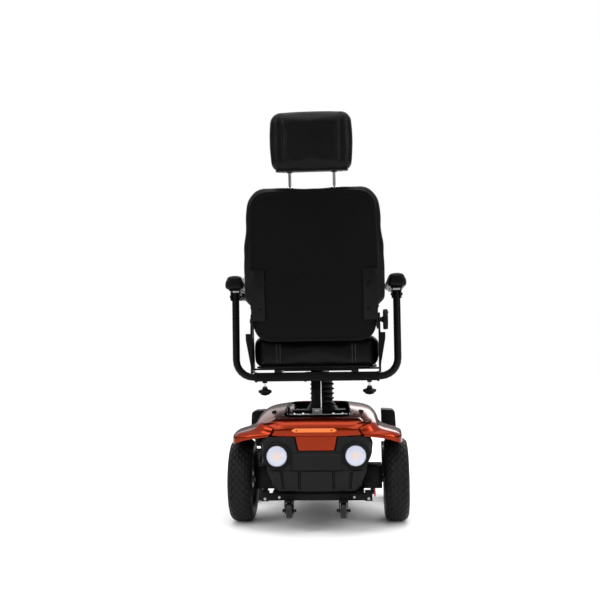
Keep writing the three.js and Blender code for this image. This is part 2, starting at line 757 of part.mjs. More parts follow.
function armrestReceiver() {
  const { half, size, bore, y, z } = receiver;
  const r = size / 2;
  const outer = block(-half, half, y - r, y + r, z - r, z + r);
  const nuts = [-1, 1].map((side) =>
    block(
      side * clamp.x - clamp.nut / 2, side * clamp.x + clamp.nut / 2,
      y - clamp.nut / 2, y + clamp.nut / 2, z - r - clamp.nutHeight, z - r + 1,
    ),
  );
  const collars = [-1, 1].map((side) => onSide(block(half - 5, half, y - r - 3, y + r + 3, z - r - 3, z + r + 1), side));
  const saddles = [-1, 1].map((side) => {
    const x = side * frameRail.x;
    return block(x - 10, x + 10, y - 10, y + 10, z + r - 1, seatPlateZ - SEAT_GAP);
  });
  const inside = block(-half - 5, half + 5, y - bore / 2, y + bore / 2, z - bore / 2, z + bore / 2);
  const studs = [-1, 1].map((side) =>
    rod(clamp.stud + RUN_GAP, [side * clamp.x, y, z - r - 20], [side * clamp.x, y, z - bore / 2 + 1], 12),
  );
  return cut(join(outer, ...nuts, ...collars, ...saddles), inside, ...studs);
}
add("armrest_receiver", armrestReceiver(), blackSteel);

function clampKnob() {
  const { stud, knob } = clamp;
  const top = receiver.z - receiver.size / 2 - 0.5;
  const profile = [
    [0, 0],
    [stud, 0],
    [stud, -16],
    [8, -18],
    [10, -26],
    [knob, -30],
    [knob, -36],
    [knob * 0.6, -46],
    [0, -49],
  ];
  return turnedAboutZ(profile, 20, [clamp.x, receiver.y, top]);
}

function armrestTube() {
  const { radius, x, bend, top, inner } = armTube;
  const { y, z } = receiver;
  const points = [new THREE.Vector3(inner, y, z)];
  const steps = 6;
  for (let i = 0; i <= steps; i++) {
    const a = (Math.PI / 2) * (i / steps);
    points.push(new THREE.Vector3(x - bend + bend * Math.sin(a), y, z + bend - bend * Math.cos(a)));
  }
  points.push(new THREE.Vector3(x, y, top));
  return bentRod(radius, points, 14);
}

function padBracket() {
  const { x, radius } = armTube;
  const inner = radius + RUN_GAP;
  const outer = inner + padHinge.plate;
  const y = receiver.y;
  const top = pad.z0 - SEAT_GAP;
  const cheeks = [
    block(x - outer, x - inner, y - 16, y + 26, padHinge.z - 14, top),
    block(x + inner, x + outer, y - 16, y + 26, padHinge.z - 14, top),
  ];
  const plate = block(x - 20, x + 20, pad.y0 + 10, pad.y1 - 20, top - 4, top);
  const pins = [
    rod(padHinge.pin, [x - outer - 4, y, padHinge.z], [x - inner, y, padHinge.z], 12),
    rod(padHinge.pin, [x + inner, y, padHinge.z], [x + outer + 4, y, padHinge.z], 12),
  ];
  return join(...cheeks, plate, ...pins);
}

function armPad() {
  const { width, topWidth, skirt, height, y0, y1, z0 } = pad;
  const x = armTube.x;
  const outline = rounded([
    [x - width / 2, z0, 4],
    [x + width / 2, z0, 4],
    [x + width / 2, z0 + skirt, 3],
    [x + width / 2 - 4, z0 + skirt + 4, 0],
    [x + topWidth / 2, z0 + height, 9],
    [x - topWidth / 2, z0 + height, 9],
    [x - width / 2 + 4, z0 + skirt + 4, 0],
    [x - width / 2, z0 + skirt, 3],
  ], 2);
  return slabXZ(outline, y0, y1);
}
for (const [label, side] of sides) {
  add(`armrest_tube_${label}`, onSide(armrestTube(), side), blackSteel);
  add(`clamp_knob_${label}`, onSide(clampKnob(), side), blackPlastic);
  add(`armrest_bracket_${label}`, onSide(padBracket(), side), blackSteel);
  add(`armrest_pad_${label}`, onSide(armPad(), side), vinyl);
}

// ---------- joystick, on the left armrest ----------
const podX = -armTube.x;
const dial = { radius: 9, height: 7, y: pod.y0 + 26 };
const button = { radius: 6, travel: 1.5, x: podX + 17, y: pod.y0 + 50 };
const podTop = pod.z0 + pod.height;
const stickY = pod.y0 + 72;
function joystickPod() {
  const { width, length, y0, z0, height, hole } = pod;
  const plan = rounded([
    [podX - width / 2, y0, 10],
    [podX + width / 2, y0, 10],
    [podX + width / 2, y0 + length, 24],
    [podX - width / 2, y0 + length, 24],
  ], 3);
  const outer = slabPlan(plan, z0, z0 + height);
  const bowl = rod(hole, [podX, stickY, stick.z - 18.5], [podX, stickY, podTop + 5], 20);
  const buttonWell = rod(
    button.radius + RUN_GAP,
    [button.x, button.y, podTop - 5],
    [button.x, button.y, podTop + 5],
    12,
  );
  const armRod = rod(6, [podX, pad.y1 - 60, pad.z0 - 12], [podX, y0 + 4, pad.z0 - 12], 12);
  const hanger = block(
    podX - 7, podX + 7,
    pad.y1 - 62, pad.y1 - 44, pad.z0 - 19, pad.z0 - 4 - 2 * SEAT_GAP,
  );
  return join(cut(outer, bowl, buttonWell), armRod, hanger);
}
add("joystick_pod", joystickPod(), blackPlastic);

function joystickBall() {
  const ball = new THREE.SphereGeometry(stick.ball, 12, 8);
  ball.translate(podX, stickY, stick.z);
  const post = rod(4, [podX, stickY, stick.z - 18], [podX, stickY, stick.z - 8], 10);
  return join(solidOf(ball), post);
}
add("joystick_ball", joystickBall(), rubber);

function joystickStick() {
  const low = stick.z + stick.ball + SEAT_GAP;
  const shaft = rod(stick.radius, [podX, stickY, low], [podX, stickY, stick.high - 6], 12);
  const knob = turnedAboutZ([[0, 0], [6, 0], [stick.knob, 12], [8, 20], [0, 22]], 16, [0, 0, 0]);
  return join(shaft, knob.translate([podX, stickY, stick.high - 10]));
}
add("joystick_stick", joystickStick(), rubber);
const knobAt = [podX - 6, dial.y, podTop + SEAT_GAP];
add(
  "speed_dial",
  rod(dial.radius, knobAt, [knobAt[0], knobAt[1], knobAt[2] + dial.height], 18),
  blackPlastic,
);
add(
  "power_button",
  rod(button.radius, [button.x, button.y, podTop - 2.7], [button.x, button.y, podTop + 2], 14),
  redPlastic,
);

// ---------- backrest: drawn upright about the hinge, then leaned back with its group ----------
function backShell() {
  const { low, high, half, lowHalf, y0, y1, corner } = shell;
  const outline = rounded([
    [-lowHalf + 4, low, corner],
    [lowHalf - 4, low, corner],
    [lowHalf, 36, 8],
    [half, 52, 8],
    [half, 190, 30],
    [half - 6, high, corner],
    [-half + 6, high, corner],
    [-half, 190, 30],
    [-half, 52, 8],
    [-lowHalf, 36, 8],
  ], 4);
  return slabXZ(outline, y0, y1);
}
const postHoles = () =>
  [-1, 1].map((side) =>
    rod(
      headPost.radius + RUN_GAP,
      [side * headPost.x, headPost.y, headPost.low - headPost.drop - 8],
      [side * headPost.x, headPost.y, backPad.high + 40],
      12,
    ),
  );
function backCushion() {
  const { low, high, half, lowHalf, topHalf, front } = backPad;
  const outline = rounded([
    [-lowHalf, low, 20],
    [lowHalf, low, 20],
    [lowHalf, 34, 6],
    [half, 66, 20],
    [half, 230, 40],
    [topHalf, high, 62],
    [-topHalf, high, 62],
    [-half, 230, 40],
    [-half, 66, 20],
    [-lowHalf, 34, 6],
  ], 4);
  return cut(slabXZ(outline, shell.y1 + SEAT_GAP, front), ...postHoles());
}
function reclinerArm() {
  const { inner, web, flange, high } = recliner;
  const rear = shell.y0 - SEAT_GAP;
  const strap = block(inner, inner + web, rear - 5, 24, -24, 30);
  const plate = block(inner + web - flange, inner + web, rear - 5, rear, 8, high);
  const pin = rod(hinge.pin, [inner, 0, 0], [inner + web + hinge.plate + 6, 0, 0], 16);
  return join(strap, plate, pin);
}
add("back_shell", backShell(), blackPlastic, backGroup);
add("back_cushion", backCushion(), vinyl, backGroup);
for (const [label, side] of sides) {
  add(`recliner_arm_${label}`, onSide(reclinerArm(), side), blackSteel, backGroup);
}

// Fixed recliner plate on each side of the seat.
function reclinerPlate() {
  const x0 = recliner.inner + recliner.web + 2;
  const outline = rounded([
    [hinge.y - 30, seatPlateZ, 6],
    [hinge.y + 58, seatPlateZ, 6],
    [hinge.y + 30, hinge.z - 40, 10],
    [hinge.y + 22, hinge.z + 24, 14],
    [hinge.y - 22, hinge.z + 24, 14],
    [hinge.y - 30, hinge.z - 40, 10],
  ], 3);
  const flangeY = hinge.y - 30;
  const flange = slabXZ([
    [x0, seat.z0 + 10],
    [x0 + hinge.plate, seat.z0 + 10],
    [x0 + gusset.width, gusset.top - 20],
    [x0 + gusset.width, gusset.top],
    [x0, gusset.top],
  ], flangeY, flangeY + hinge.plate);
  const plate = slabYZ(outline, x0, x0 + hinge.plate).add(flange);
  const hole = rod(hinge.pin + RUN_GAP, [x0 - 5, hinge.y, hinge.z], [x0 + 20, hinge.y, hinge.z], 16);
  return cut(plate, hole);
}
for (const [label, side] of sides) {
  add(`recliner_plate_${label}`, onSide(reclinerPlate(), side), blackSteel);
}

function reclineKnob() {
  const { radius, width, hub, x } = handWheel;
  const start = recliner.inner + recliner.web + hinge.plate + 6 + SEAT_GAP;
  const profile = [
    [0, start],
    [hub, start],
    [hub, x],
    [radius - 3, x],
    [radius, x + 3],
    [radius, x + width - 3],
    [radius - 3, x + width],
    [0, x + width],
  ];
  return turnedAboutX(profile, 24, [0, hinge.y, hinge.z]);
}
add("recline_knob", reclineKnob(), blackPlastic);

// ---------- headrest ----------
function uPosts(room, low) {
  const { radius: thick, x, y, high } = headPost;
  const radius = thick + room;
  const barZ = high - thick;
  return join(
    rod(radius, [-x, y, low], [-x, y, high + room], 12),
    rod(radius, [x, y, low], [x, y, high + room], 12),
    rod(radius, [-x - room, y, barZ], [x + room, y, barZ], 12),
  );
}
function headCushion() {
  const { half, low, high, y0, y1, corner } = headrest;
  const outline = rounded([
    [-half, low, corner],
    [half, low, corner],
    [half, high, corner],
    [-half, high, corner],
  ], 4);
  return cut(slabXZ(outline, y0, y1), uPosts(RUN_GAP, low - 20));
}
add("headrest_cushion", headCushion(), vinyl, backGroup);
add("headrest_posts", uPosts(0, headPost.low), brightSteel, backGroup);

// ---------- footplate ----------
function footPlate() {
  const { half, y0, y1, z, thick, pin, lug } = footplate;
  const plan = rounded([
    [-half, y0 + 18, 8],
    [half, y0 + 18, 8],
    [half - 12, y1, 34],
    [-half + 12, y1, 34],
  ], 4);
  const top = z + thick / 2;
  const plate = slabPlan(plan, top - thick, top);
  const ears = [-1, 1].map((side) => onSide(join(
    rod(pin + 5, [lug + 2, y0, z], [lug + 22, y0, z], 16),
    block(lug + 2, lug + 22, y0, y0 + 24, top - thick, top),
  ), side));
  const holes = [-1, 1].map((side) =>
    onSide(rod(pin + RUN_GAP, [lug - 5, y0, z], [lug + 40, y0, z], 16), side),
  );
  return cut(join(plate, ...ears), ...holes);
}
add("footplate", footPlate(), blackPlastic);

export default chair;
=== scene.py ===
# %% [markdown]
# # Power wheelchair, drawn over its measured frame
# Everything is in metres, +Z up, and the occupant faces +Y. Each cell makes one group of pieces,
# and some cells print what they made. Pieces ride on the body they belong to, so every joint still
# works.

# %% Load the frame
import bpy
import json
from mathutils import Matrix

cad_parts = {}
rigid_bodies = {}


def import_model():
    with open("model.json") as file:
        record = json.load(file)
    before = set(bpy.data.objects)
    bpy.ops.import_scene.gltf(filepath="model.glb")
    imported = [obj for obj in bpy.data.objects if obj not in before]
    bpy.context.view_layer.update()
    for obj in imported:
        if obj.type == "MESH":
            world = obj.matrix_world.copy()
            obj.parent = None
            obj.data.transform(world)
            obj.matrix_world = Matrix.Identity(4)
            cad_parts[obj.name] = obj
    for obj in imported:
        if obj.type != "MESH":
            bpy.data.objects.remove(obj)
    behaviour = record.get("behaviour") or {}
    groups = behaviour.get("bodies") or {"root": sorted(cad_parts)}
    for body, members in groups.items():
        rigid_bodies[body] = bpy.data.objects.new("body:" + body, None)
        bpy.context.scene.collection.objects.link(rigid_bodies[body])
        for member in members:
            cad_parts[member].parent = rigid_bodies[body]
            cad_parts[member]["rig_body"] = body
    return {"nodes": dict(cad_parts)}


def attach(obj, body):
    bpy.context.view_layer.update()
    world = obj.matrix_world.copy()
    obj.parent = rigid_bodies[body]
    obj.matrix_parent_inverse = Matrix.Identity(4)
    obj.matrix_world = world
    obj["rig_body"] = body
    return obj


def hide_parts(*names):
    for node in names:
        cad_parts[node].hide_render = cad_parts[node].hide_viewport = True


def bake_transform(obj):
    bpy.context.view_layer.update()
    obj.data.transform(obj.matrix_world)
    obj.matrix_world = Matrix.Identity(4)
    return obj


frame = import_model()
import json
import math
import bmesh
import bpy
from mathutils import Matrix, Vector, noise

scene = bpy.context.scene
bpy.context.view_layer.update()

# %% [markdown]
# ## Camera
# A long lens behind the chair, a little to the right of its middle and about waist high.

# %% Make the camera
# Looks along +Y, then turned by yaw, pitch and roll.
def make_camera(place, yaw, pitch, roll, lens):
    forward = Vector((math.sin(yaw) * math.cos(pitch), math.cos(yaw) * math.cos(pitch),
                      math.sin(pitch)))
    right = forward.cross(Vector((0, 0, 1))).normalized()
    up = right.cross(forward)
    right, up = (right * math.cos(roll) - up * math.sin(roll),
                 right * math.sin(roll) + up * math.cos(roll))
    data = bpy.data.cameras.new("camera")
    data.lens = lens
    data.clip_end = 50
    camera = bpy.data.objects.new("camera", data)
    scene.collection.objects.link(camera)
    camera.matrix_world = Matrix((
        (right.x, up.x, -forward.x, place[0]), (right.y, up.y, -forward.y, place[1]),
        (right.z, up.z, -forward.z, place[2]), (0, 0, 0, 1)))
    scene.camera = camera

make_camera((0.14, -3.346, 0.622), -0.0641, 0.049, 0.0144, 52.5)
scene.view_settings.view_transform = "Standard"

# %% [markdown]
# ## Stage
# A pale floor, a white sky and large soft lamps, as in a product studio.

# %% Make the stage
# A square-cornered area lamp aimed at a point.
def soft_lamp(name, place, aim, size, power):
    data = bpy.data.lights.new(name, "AREA")
    data.shape, data.size, data.size_y, data.energy = "RECTANGLE", size[0], size[1], power
    lamp = bpy.data.objects.new(name, data)
    scene.collection.objects.link(lamp)
    lamp.location = place
    lamp.rotation_euler = (Vector(aim) - Vector(place)).to_track_quat("-Z", "Y").to_euler()

# A white room, a pale floor and five soft lamps.
def make_stage():
    world = bpy.data.worlds.new("studio")
    scene.world = world
    world.use_nodes = True
    tree = world.node_tree
    sky, path = tree.nodes["Background"], tree.nodes.new("ShaderNodeLightPath")
    sky.inputs["Color"].default_value = (1, 1, 1, 1)
    level = tree.nodes.new("ShaderNodeMix")
    level.inputs["A"].default_value = 0.16
    level.inputs["B"].default_value = 1.0
    tree.links.new(path.outputs["Is Camera Ray"], level.inputs["Factor"])
    tree.links.new(level.outputs["Result"], sky.inputs["Strength"])
    floor_mesh = bpy.data.meshes.new("floor")
    span = 12
    floor_mesh.from_pydata([(-span, -span, -0.0005), (span, -span, -0.0005),
                            (span, span, -0.0005), (-span, span, -0.0005)], [], [(0, 1, 2, 3)])
    floor = bpy.data.objects.new("floor", floor_mesh)
    scene.collection.objects.link(floor)
    finish = bpy.data.materials.new("floor")
    finish.use_nodes = True
    sockets = finish.node_tree.nodes["Principled BSDF"].inputs
    sockets["Base Color"].default_value = (0.96, 0.96, 0.96, 1)
    sockets["Roughness"].default_value = 0.7
    floor_mesh.materials.append(finish)
    soft_lamp("overhead", (0, -0.6, 3.4), (0, -0.1, 0.6), (3.0, 2.4), 40)
    soft_lamp("ceiling", (0, 0, 6), (0, 0, 0), (40, 40), 5600)
    soft_lamp("rear_left", (-2.4, -3.0, 2.2), (0, -0.2, 0.6), (0.9, 2.2), 26)
    soft_lamp("rear_right", (2.6, -2.6, 1.6), (0, -0.2, 0.5), (0.5, 2.4), 26)
    soft_lamp("front", (0.8, 3.0, 2.4), (0, 0.2, 0.6), (2.4, 2.0), 45)

make_stage()

# %% [markdown]
# ## Finishes
# Node groups give grain, wear and tread dust. They hand back only colours, masks and normals;
# each material owns its own shader.

# %% Node groups
# A shader group with its inputs, outputs and a texture place.
def new_group(name, inputs, outputs):
    group = bpy.data.node_groups.new(name, "ShaderNodeTree")
    for label, kind, value in inputs:
        socket = group.interface.new_socket(label, in_out="INPUT", socket_type=kind)
        if value is not None:
            socket.default_value = value
    for label, kind in outputs:
        group.interface.new_socket(label, in_out="OUTPUT", socket_type=kind)
    enter, leave = group.nodes.new("NodeGroupInput"), group.nodes.new("NodeGroupOutput")
    where = group.nodes.new("ShaderNodeTexCoord")
    return group, enter, leave, where

# One arithmetic step inside a group.
def math_node(tree, operation, first, second=None):
    node = tree.nodes.new("ShaderNodeMath")
    node.operation = operation
    for socket, value in zip(node.inputs, (first, second)):
        if isinstance(value, (int, float)):
            socket.default_value = value
        elif value is not None:
            tree.links.new(value, socket)
    return node.outputs[0]

# Small cells raised from the surface: leather grain on a cushion, spark grain on a moulding.
def grain_group():
    group, enter, leave, where = new_group(
        "grain", [("Scale", "NodeSocketFloat", 400.0), ("Depth", "NodeSocketFloat", 0.0002),
                  ("Strength", "NodeSocketFloat", 0.5)],
        [("Normal", "NodeSocketVector"), ("Height", "NodeSocketFloat")])
    cells = group.nodes.new("ShaderNodeTexVoronoi")
    cells.feature = "SMOOTH_F1"
    broad = group.nodes.new("ShaderNodeTexNoise")
    broad.inputs["Detail"].default_value = 3
    group.links.new(where.outputs["Object"], cells.inputs["Vector"])
    group.links.new(where.outputs["Object"], broad.inputs["Vector"])
    group.links.new(enter.outputs["Scale"], cells.inputs["Scale"])
    group.links.new(math_node(group, "MULTIPLY", enter.outputs["Scale"], 0.35),
                    broad.inputs["Scale"])
    height = math_node(group, "ADD", cells.outputs["Distance"],
                       math_node(group, "MULTIPLY", broad.outputs["Fac"], 0.5))
    bump = group.nodes.new("ShaderNodeBump")
    group.links.new(height, bump.inputs["Height"])
    group.links.new(enter.outputs["Depth"], bump.inputs["Distance"])
    group.links.new(enter.outputs["Strength"], bump.inputs["Strength"])
    group.links.new(bump.outputs["Normal"], leave.inputs["Normal"])
    group.links.new(height, leave.inputs["Height"])
    return group

# Slow change of tone over a surface, and a roughness that follows it.
def handled_group():
    group, enter, leave, where = new_group(
        "handled", [("Colour", "NodeSocketColor", (0.05, 0.05, 0.05, 1)),
                    ("Change", "NodeSocketFloat", 0.15), ("Roughness", "NodeSocketFloat", 0.5),
                    ("Scale", "NodeSocketFloat", 9.0)],
        [("Colour", "NodeSocketColor"), ("Roughness", "NodeSocketFloat")])
    patches = group.nodes.new("ShaderNodeTexNoise")
    patches.inputs["Detail"].default_value = 6
    group.links.new(where.outputs["Object"], patches.inputs["Vector"])
    group.links.new(enter.outputs["Scale"], patches.inputs["Scale"])
    swing = math_node(group, "SUBTRACT", patches.outputs["Fac"], 0.5)
    gain = math_node(group, "ADD", math_node(group, "MULTIPLY", swing,
                     math_node(group, "MULTIPLY", enter.outputs["Change"], 4.0)), 1.0)
    scale = group.nodes.new("ShaderNodeVectorMath")
    scale.operation = "SCALE"
    group.links.new(enter.outputs["Colour"], scale.inputs[0])
    group.links.new(gain, scale.inputs["Scale"])
    group.links.new(scale.outputs[0], leave.inputs["Colour"])
    rough = math_node(group, "ADD", enter.outputs["Roughness"],
                      math_node(group, "MULTIPLY", swing, enter.outputs["Change"]))
    group.links.new(rough, leave.inputs["Roughness"])
    return group

GRAIN, HANDLED = grain_group(), handled_group()

# %% Materials
# A plain surface that takes its tone from "handled" and its bumps from "grain".
def finish(name, colour, roughness, metallic=0.0, grain=None, change=0.12, coat=0.0, scale=9.0,
           specular=0.5):
    material = bpy.data.materials.new(name)
    material.use_nodes = True
    tree = material.node_tree
    shader = tree.nodes["Principled BSDF"]
    shader.inputs["Metallic"].default_value = metallic
    shader.inputs["Specular IOR Level"].default_value = specular
    shader.inputs["Coat Weight"].default_value = coat
    shader.inputs["Coat Roughness"].default_value = 0.03
    handled = tree.nodes.new("ShaderNodeGroup")
    handled.node_tree = HANDLED
    handled.inputs["Colour"].default_value = (*colour, 1)
    handled.inputs["Change"].default_value = change
    handled.inputs["Roughness"].default_value = roughness
    handled.inputs["Scale"].default_value = scale
    tree.links.new(handled.outputs["Colour"], shader.inputs["Base Color"])
    tree.links.new(handled.outputs["Roughness"], shader.inputs["Roughness"])
    if grain:
        bumps = tree.nodes.new("ShaderNodeGroup")
        bumps.node_tree = GRAIN
        for label, value in zip(("Scale", "Depth", "Strength"), grain):
            bumps.inputs[label].default_value = value
        tree.links.new(bumps.outputs["Normal"], shader.inputs["Normal"])
    return material

# Metallic candy paint: bright where it is seen square on, deep red-brown where it turns away.
def candy_paint():
    material = finish("candy_paint", (0.5, 0.07, 0.01), 0.2, 0.85, None, 0.05, 0.2, specular=0.2)
    tree = material.node_tree
    shader = tree.nodes["Principled BSDF"]
    facing = tree.nodes.new("ShaderNodeLayerWeight")
    facing.inputs["Blend"].default_value = 0.35
    mix = tree.nodes.new("ShaderNodeMix")
    mix.data_type = "RGBA"
    mix.inputs["A"].default_value = (0.25, 0.019, 0.0008, 1)
    mix.inputs["B"].default_value = (0.035, 0.003, 0.0008, 1)
    tree.links.new(facing.outputs["Facing"], mix.inputs["Factor"])
    tree.links.new(mix.outputs["Result"], shader.inputs["Base Color"])
    return material

M = {
    "steel": finish("black_steel", (0.003, 0.003, 0.00325), 0.3, grain=(900, 0.0001, 0.15),
                    specular=0.1),
    "plastic": finish("black_plastic", (0.0035, 0.0035, 0.00375), 0.4, grain=(1400, 0.0001, 0.25),
                      specular=0.1),
    "bumper": finish("bumper_plastic", (0.0055, 0.0055, 0.0062), 0.45, grain=(1500, 0.0001, 0.4),
                     specular=0.16),
    "panel": finish("back_panel", (0.00175, 0.00175, 0.002), 0.42, grain=(520, 0.0003, 0.5),
                    specular=0.06),
    "tyre": finish("tyre_rubber", (0.006, 0.006, 0.0062), 0.45, grain=(1100, 0.0001, 0.3),
                   change=0.2, specular=0.14),
    "rubber": finish("rubber", (0.0045, 0.0045, 0.00475), 0.5, grain=(1200, 0.0001, 0.2),
                     specular=0.3),
    "vinyl": finish("vinyl", (0.002, 0.002, 0.00225), 0.34, grain=(430, 0.0004, 0.6), change=0.15,
                    specular=0.1),
    "thread": finish("thread", (0.05, 0.05, 0.052), 0.7),
    "paint": candy_paint(),
    "chrome": finish("chrome", (0.82, 0.82, 0.84), 0.1, 1.0, None, 0.03),
    "dark_chrome": finish("dark_chrome", (0.2, 0.2, 0.21), 0.12, 1.0, None, 0.03),
    "zinc": finish("zinc_plate", (0.5, 0.51, 0.52), 0.34, 1.0, (300, 0.0001, 0.3), 0.1, 0, 40),
    "rim": finish("rim_paint", (0.09, 0.09, 0.095), 0.35, 0.3),
    "red": finish("red_plastic", (0.62, 0.05, 0.015), 0.35),
    "amber": finish("amber_lens", (0.8, 0.15, 0.006), 0.15, 0.0, (420, 0.0004, 0.5), 0.03, 0.6),
    "lens": finish("lamp_lens", (0.50, 0.52, 0.62), 0.12, 0.0, (230, 0.0015, 0.9), 0.06, 0.8),
    "led": finish("led", (0.95, 0.5, 0.12), 0.3),
    "white": finish("white_mark", (0.8, 0.8, 0.8), 0.4),
    "green": finish("green_light", (0.05, 0.6, 0.12), 0.3),
}
print(len(M), "finishes")

# %% [markdown]
# ## Builders
# Short helpers that turn a profile, an outline or a grid into a mesh with the right finish.

# %% Builders
DEG = math.radians
HINGE = Vector((0, -0.365, 0.698))
BACK = Matrix.Translation(HINGE) @ Matrix.Rotation(DEG(8), 4, "X")

# A mesh of the given material that rides on a body.
def build(name, verts, faces, material, body, matrix=None, smooth=40):
    mesh = bpy.data.meshes.new(name)
    mesh.from_pydata([tuple(v) for v in verts], [], faces)
    if matrix is not None:
        mesh.transform(matrix)
    work = bmesh.new()
    work.from_mesh(mesh)
    bmesh.ops.remove_doubles(work, verts=work.verts, dist=1e-6)
    bmesh.ops.recalc_face_normals(work, faces=work.faces)
    work.to_mesh(mesh)
    work.free()
    mesh.materials.append(M[material])
    obj = bpy.data.objects.new(name, mesh)
    scene.collection.objects.link(obj)
    if smooth:
        shade(obj, smooth)
    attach(obj, body)
    return obj

# Smooth shading, with a hard edge wherever the faces turn by more than the angle.
def shade(obj, angle):
    mesh = obj.data
    mesh.polygons.foreach_set("use_smooth", [True] * len(mesh.polygons))
    mesh.set_sharp_from_angle(angle=DEG(angle))

# A profile of (radius, height) turned about an axis.
def lathe(name, profile, centre, axis, material, body, count=48, matrix=None, smooth=40):
    turn = Vector((0, 0, 1)).rotation_difference(Vector(axis).normalized()).to_matrix()
    verts, faces = [], []
    for i in range(count):
        a = 2 * math.pi * i / count
        for r, h in profile:
            verts.append(turn @ Vector((r * math.cos(a), r * math.sin(a), h)) + Vector(centre))
    n = len(profile)
    for i in range(count):
        for k in range(n - 1):
            a, b = i * n + k, ((i + 1) % count) * n + k
            faces.append((a, b, b + 1, a + 1))
    return build(name, verts, faces, material, body, matrix, smooth)

# A round rod along points, with flat ends.
def tube(name, points, radius, material, body, matrix=None, sides=12):
    verts, faces = [], []
    points = [Vector(p) for p in points]
    side = None
    for i, p in enumerate(points):
        along = (points[min(i + 1, len(points) - 1)] - points[max(i - 1, 0)]).normalized()
        if side is None:
            side = along.orthogonal().normalized()
        side = (side - along * side.dot(along)).normalized()
        other = along.cross(side)
        for k in range(sides):
            a = 2 * math.pi * k / sides
            verts.append(p + (side * math.cos(a) + other * math.sin(a)) * radius)
    for i in range(len(points) - 1):
        for k in range(sides):
            a, b = i * sides + k, i * sides + (k + 1) % sides
            faces.append((a, b, b + sides, a + sides))
    faces.append(tuple(range(sides))[::-1])
    faces.append(tuple(range(len(verts) - sides, len(verts))))
    return build(name, verts, faces, material, body, matrix)

# A box between two corners, with rounded edges.
def block(name, lo, hi, material, body, bevel=0.001):
    x0, y0, z0 = lo
    x1, y1, z1 = hi
    verts = [(x, y, z) for x in (x0, x1) for y in (y0, y1) for z in (z0, z1)]
    faces = [(0, 1, 3, 2), (4, 6, 7, 5), (0, 4, 5, 1), (2, 3, 7, 6), (0, 2, 6, 4), (1, 5, 7, 3)]
    obj = build(name, verts, faces, material, body, None, 0)
    round_edges(obj, bevel)
    return obj

# Rounds the edges that turn sharply.
def round_edges(obj, width):
    bevel = obj.modifiers.new("round", "BEVEL")
    bevel.width, bevel.segments, bevel.limit_method = width, 3, "ANGLE"
    bevel.angle_limit = DEG(35)
    bevel.harden_normals = False
    shade(obj, 45)

# A domed bolt head standing on a surface, with a round socket.
def bolt(name, centre, axis, radius, body, material="chrome", matrix=None):
    profile = [(0, radius * 0.35), (radius * 0.4, radius * 0.35), (radius * 0.45, radius * 0.75),
               (radius * 0.75, radius * 0.68), (radius, radius * 0.3), (radius, -0.001),
               (0, -0.001)]
    return lathe(name, profile, centre, axis, material, body, 20, matrix)

# Goes from 0 at a to 1 at b with soft ends.
def smoothstep(a, b, x):
    t = max(0.0, min(1.0, (x - a) / (b - a)))
    return t * t * (3 - 2 * t)

# A smooth curve from b to c, led by their neighbours a and d.
def between(a, b, c, d, t):
    return 0.5 * ((2 * b) + (c - a) * t + (2 * a - 5 * b + 4 * c - d) * t * t
                  + (3 * b - a - 3 * c + d) * t ** 3)

SIDES = (("left", -1), ("right", 1))

# %% [markdown]
# ## Pieces kept from the frame
# Hard pieces keep their own mesh. Edges are rounded and shaded so that they catch light.

# %% Finish the kept pieces
KEPT = {
    "steel": ("main_frame anti_tip_fork_left anti_tip_fork_right armrest_bracket_left "
              "armrest_bracket_right armrest_receiver armrest_tube_left armrest_tube_right "
              "caster_fork_left caster_fork_right drive_motor_left drive_motor_right "
              "lift_guide_rail lift_outer_post recliner_arm_left recliner_arm_right "
              "recliner_plate_left recliner_plate_right seat_frame"),
    "plastic": ("battery_left battery_right caster_cover_left caster_cover_right "
                "clamp_knob_left clamp_knob_right post_cover "
                "power_module footplate joystick_pod speed_dial"),
    "rim": "drive_rim_left drive_rim_right caster_hub_left caster_hub_right",
    "rubber": "anti_tip_wheel_left anti_tip_wheel_right joystick_ball joystick_stick",
    "tyre": "caster_tyre_left caster_tyre_right",
    "chrome": "lift_inner_post",
    "dark_chrome": "headrest_posts",
    "red": "freewheel_lever_left freewheel_lever_right power_button",
}
BEVELS = {"caster_cover": 0.006, "post_cover": 0.002, "battery": 0.004, "footplate": 0.002,
          "joystick_pod": 0.005, "caster_tyre": 0.0, "armrest_tube": 0.0, "headrest_posts": 0.0,
          "joystick_ball": 0.0, "joystick_stick": 0.0}

# Gives each kept piece its finish, rounded edges and shading.
def finish_kept():
    for material, names in KEPT.items():
        for name in names.split():
            obj = frame["nodes"][name]
            obj.data.materials.clear()
            obj.data.materials.append(M[material])
            weld = obj.modifiers.new("weld", "WELD")
            weld.merge_threshold = 1e-5
            width = next((v for k, v in BEVELS.items() if name.startswith(k)), 0.0012)
            if width:
                bevel = obj.modifiers.new("round", "BEVEL")
                bevel.width, bevel.segments = width, 3
                bevel.limit_method, bevel.angle_limit = "ANGLE", DEG(38)
            for face in obj.data.polygons:
                face.use_smooth = True
            smooth_by_angle(obj)
    print("kept pieces:", sum(len(v.split()) for v in KEPT.values()))

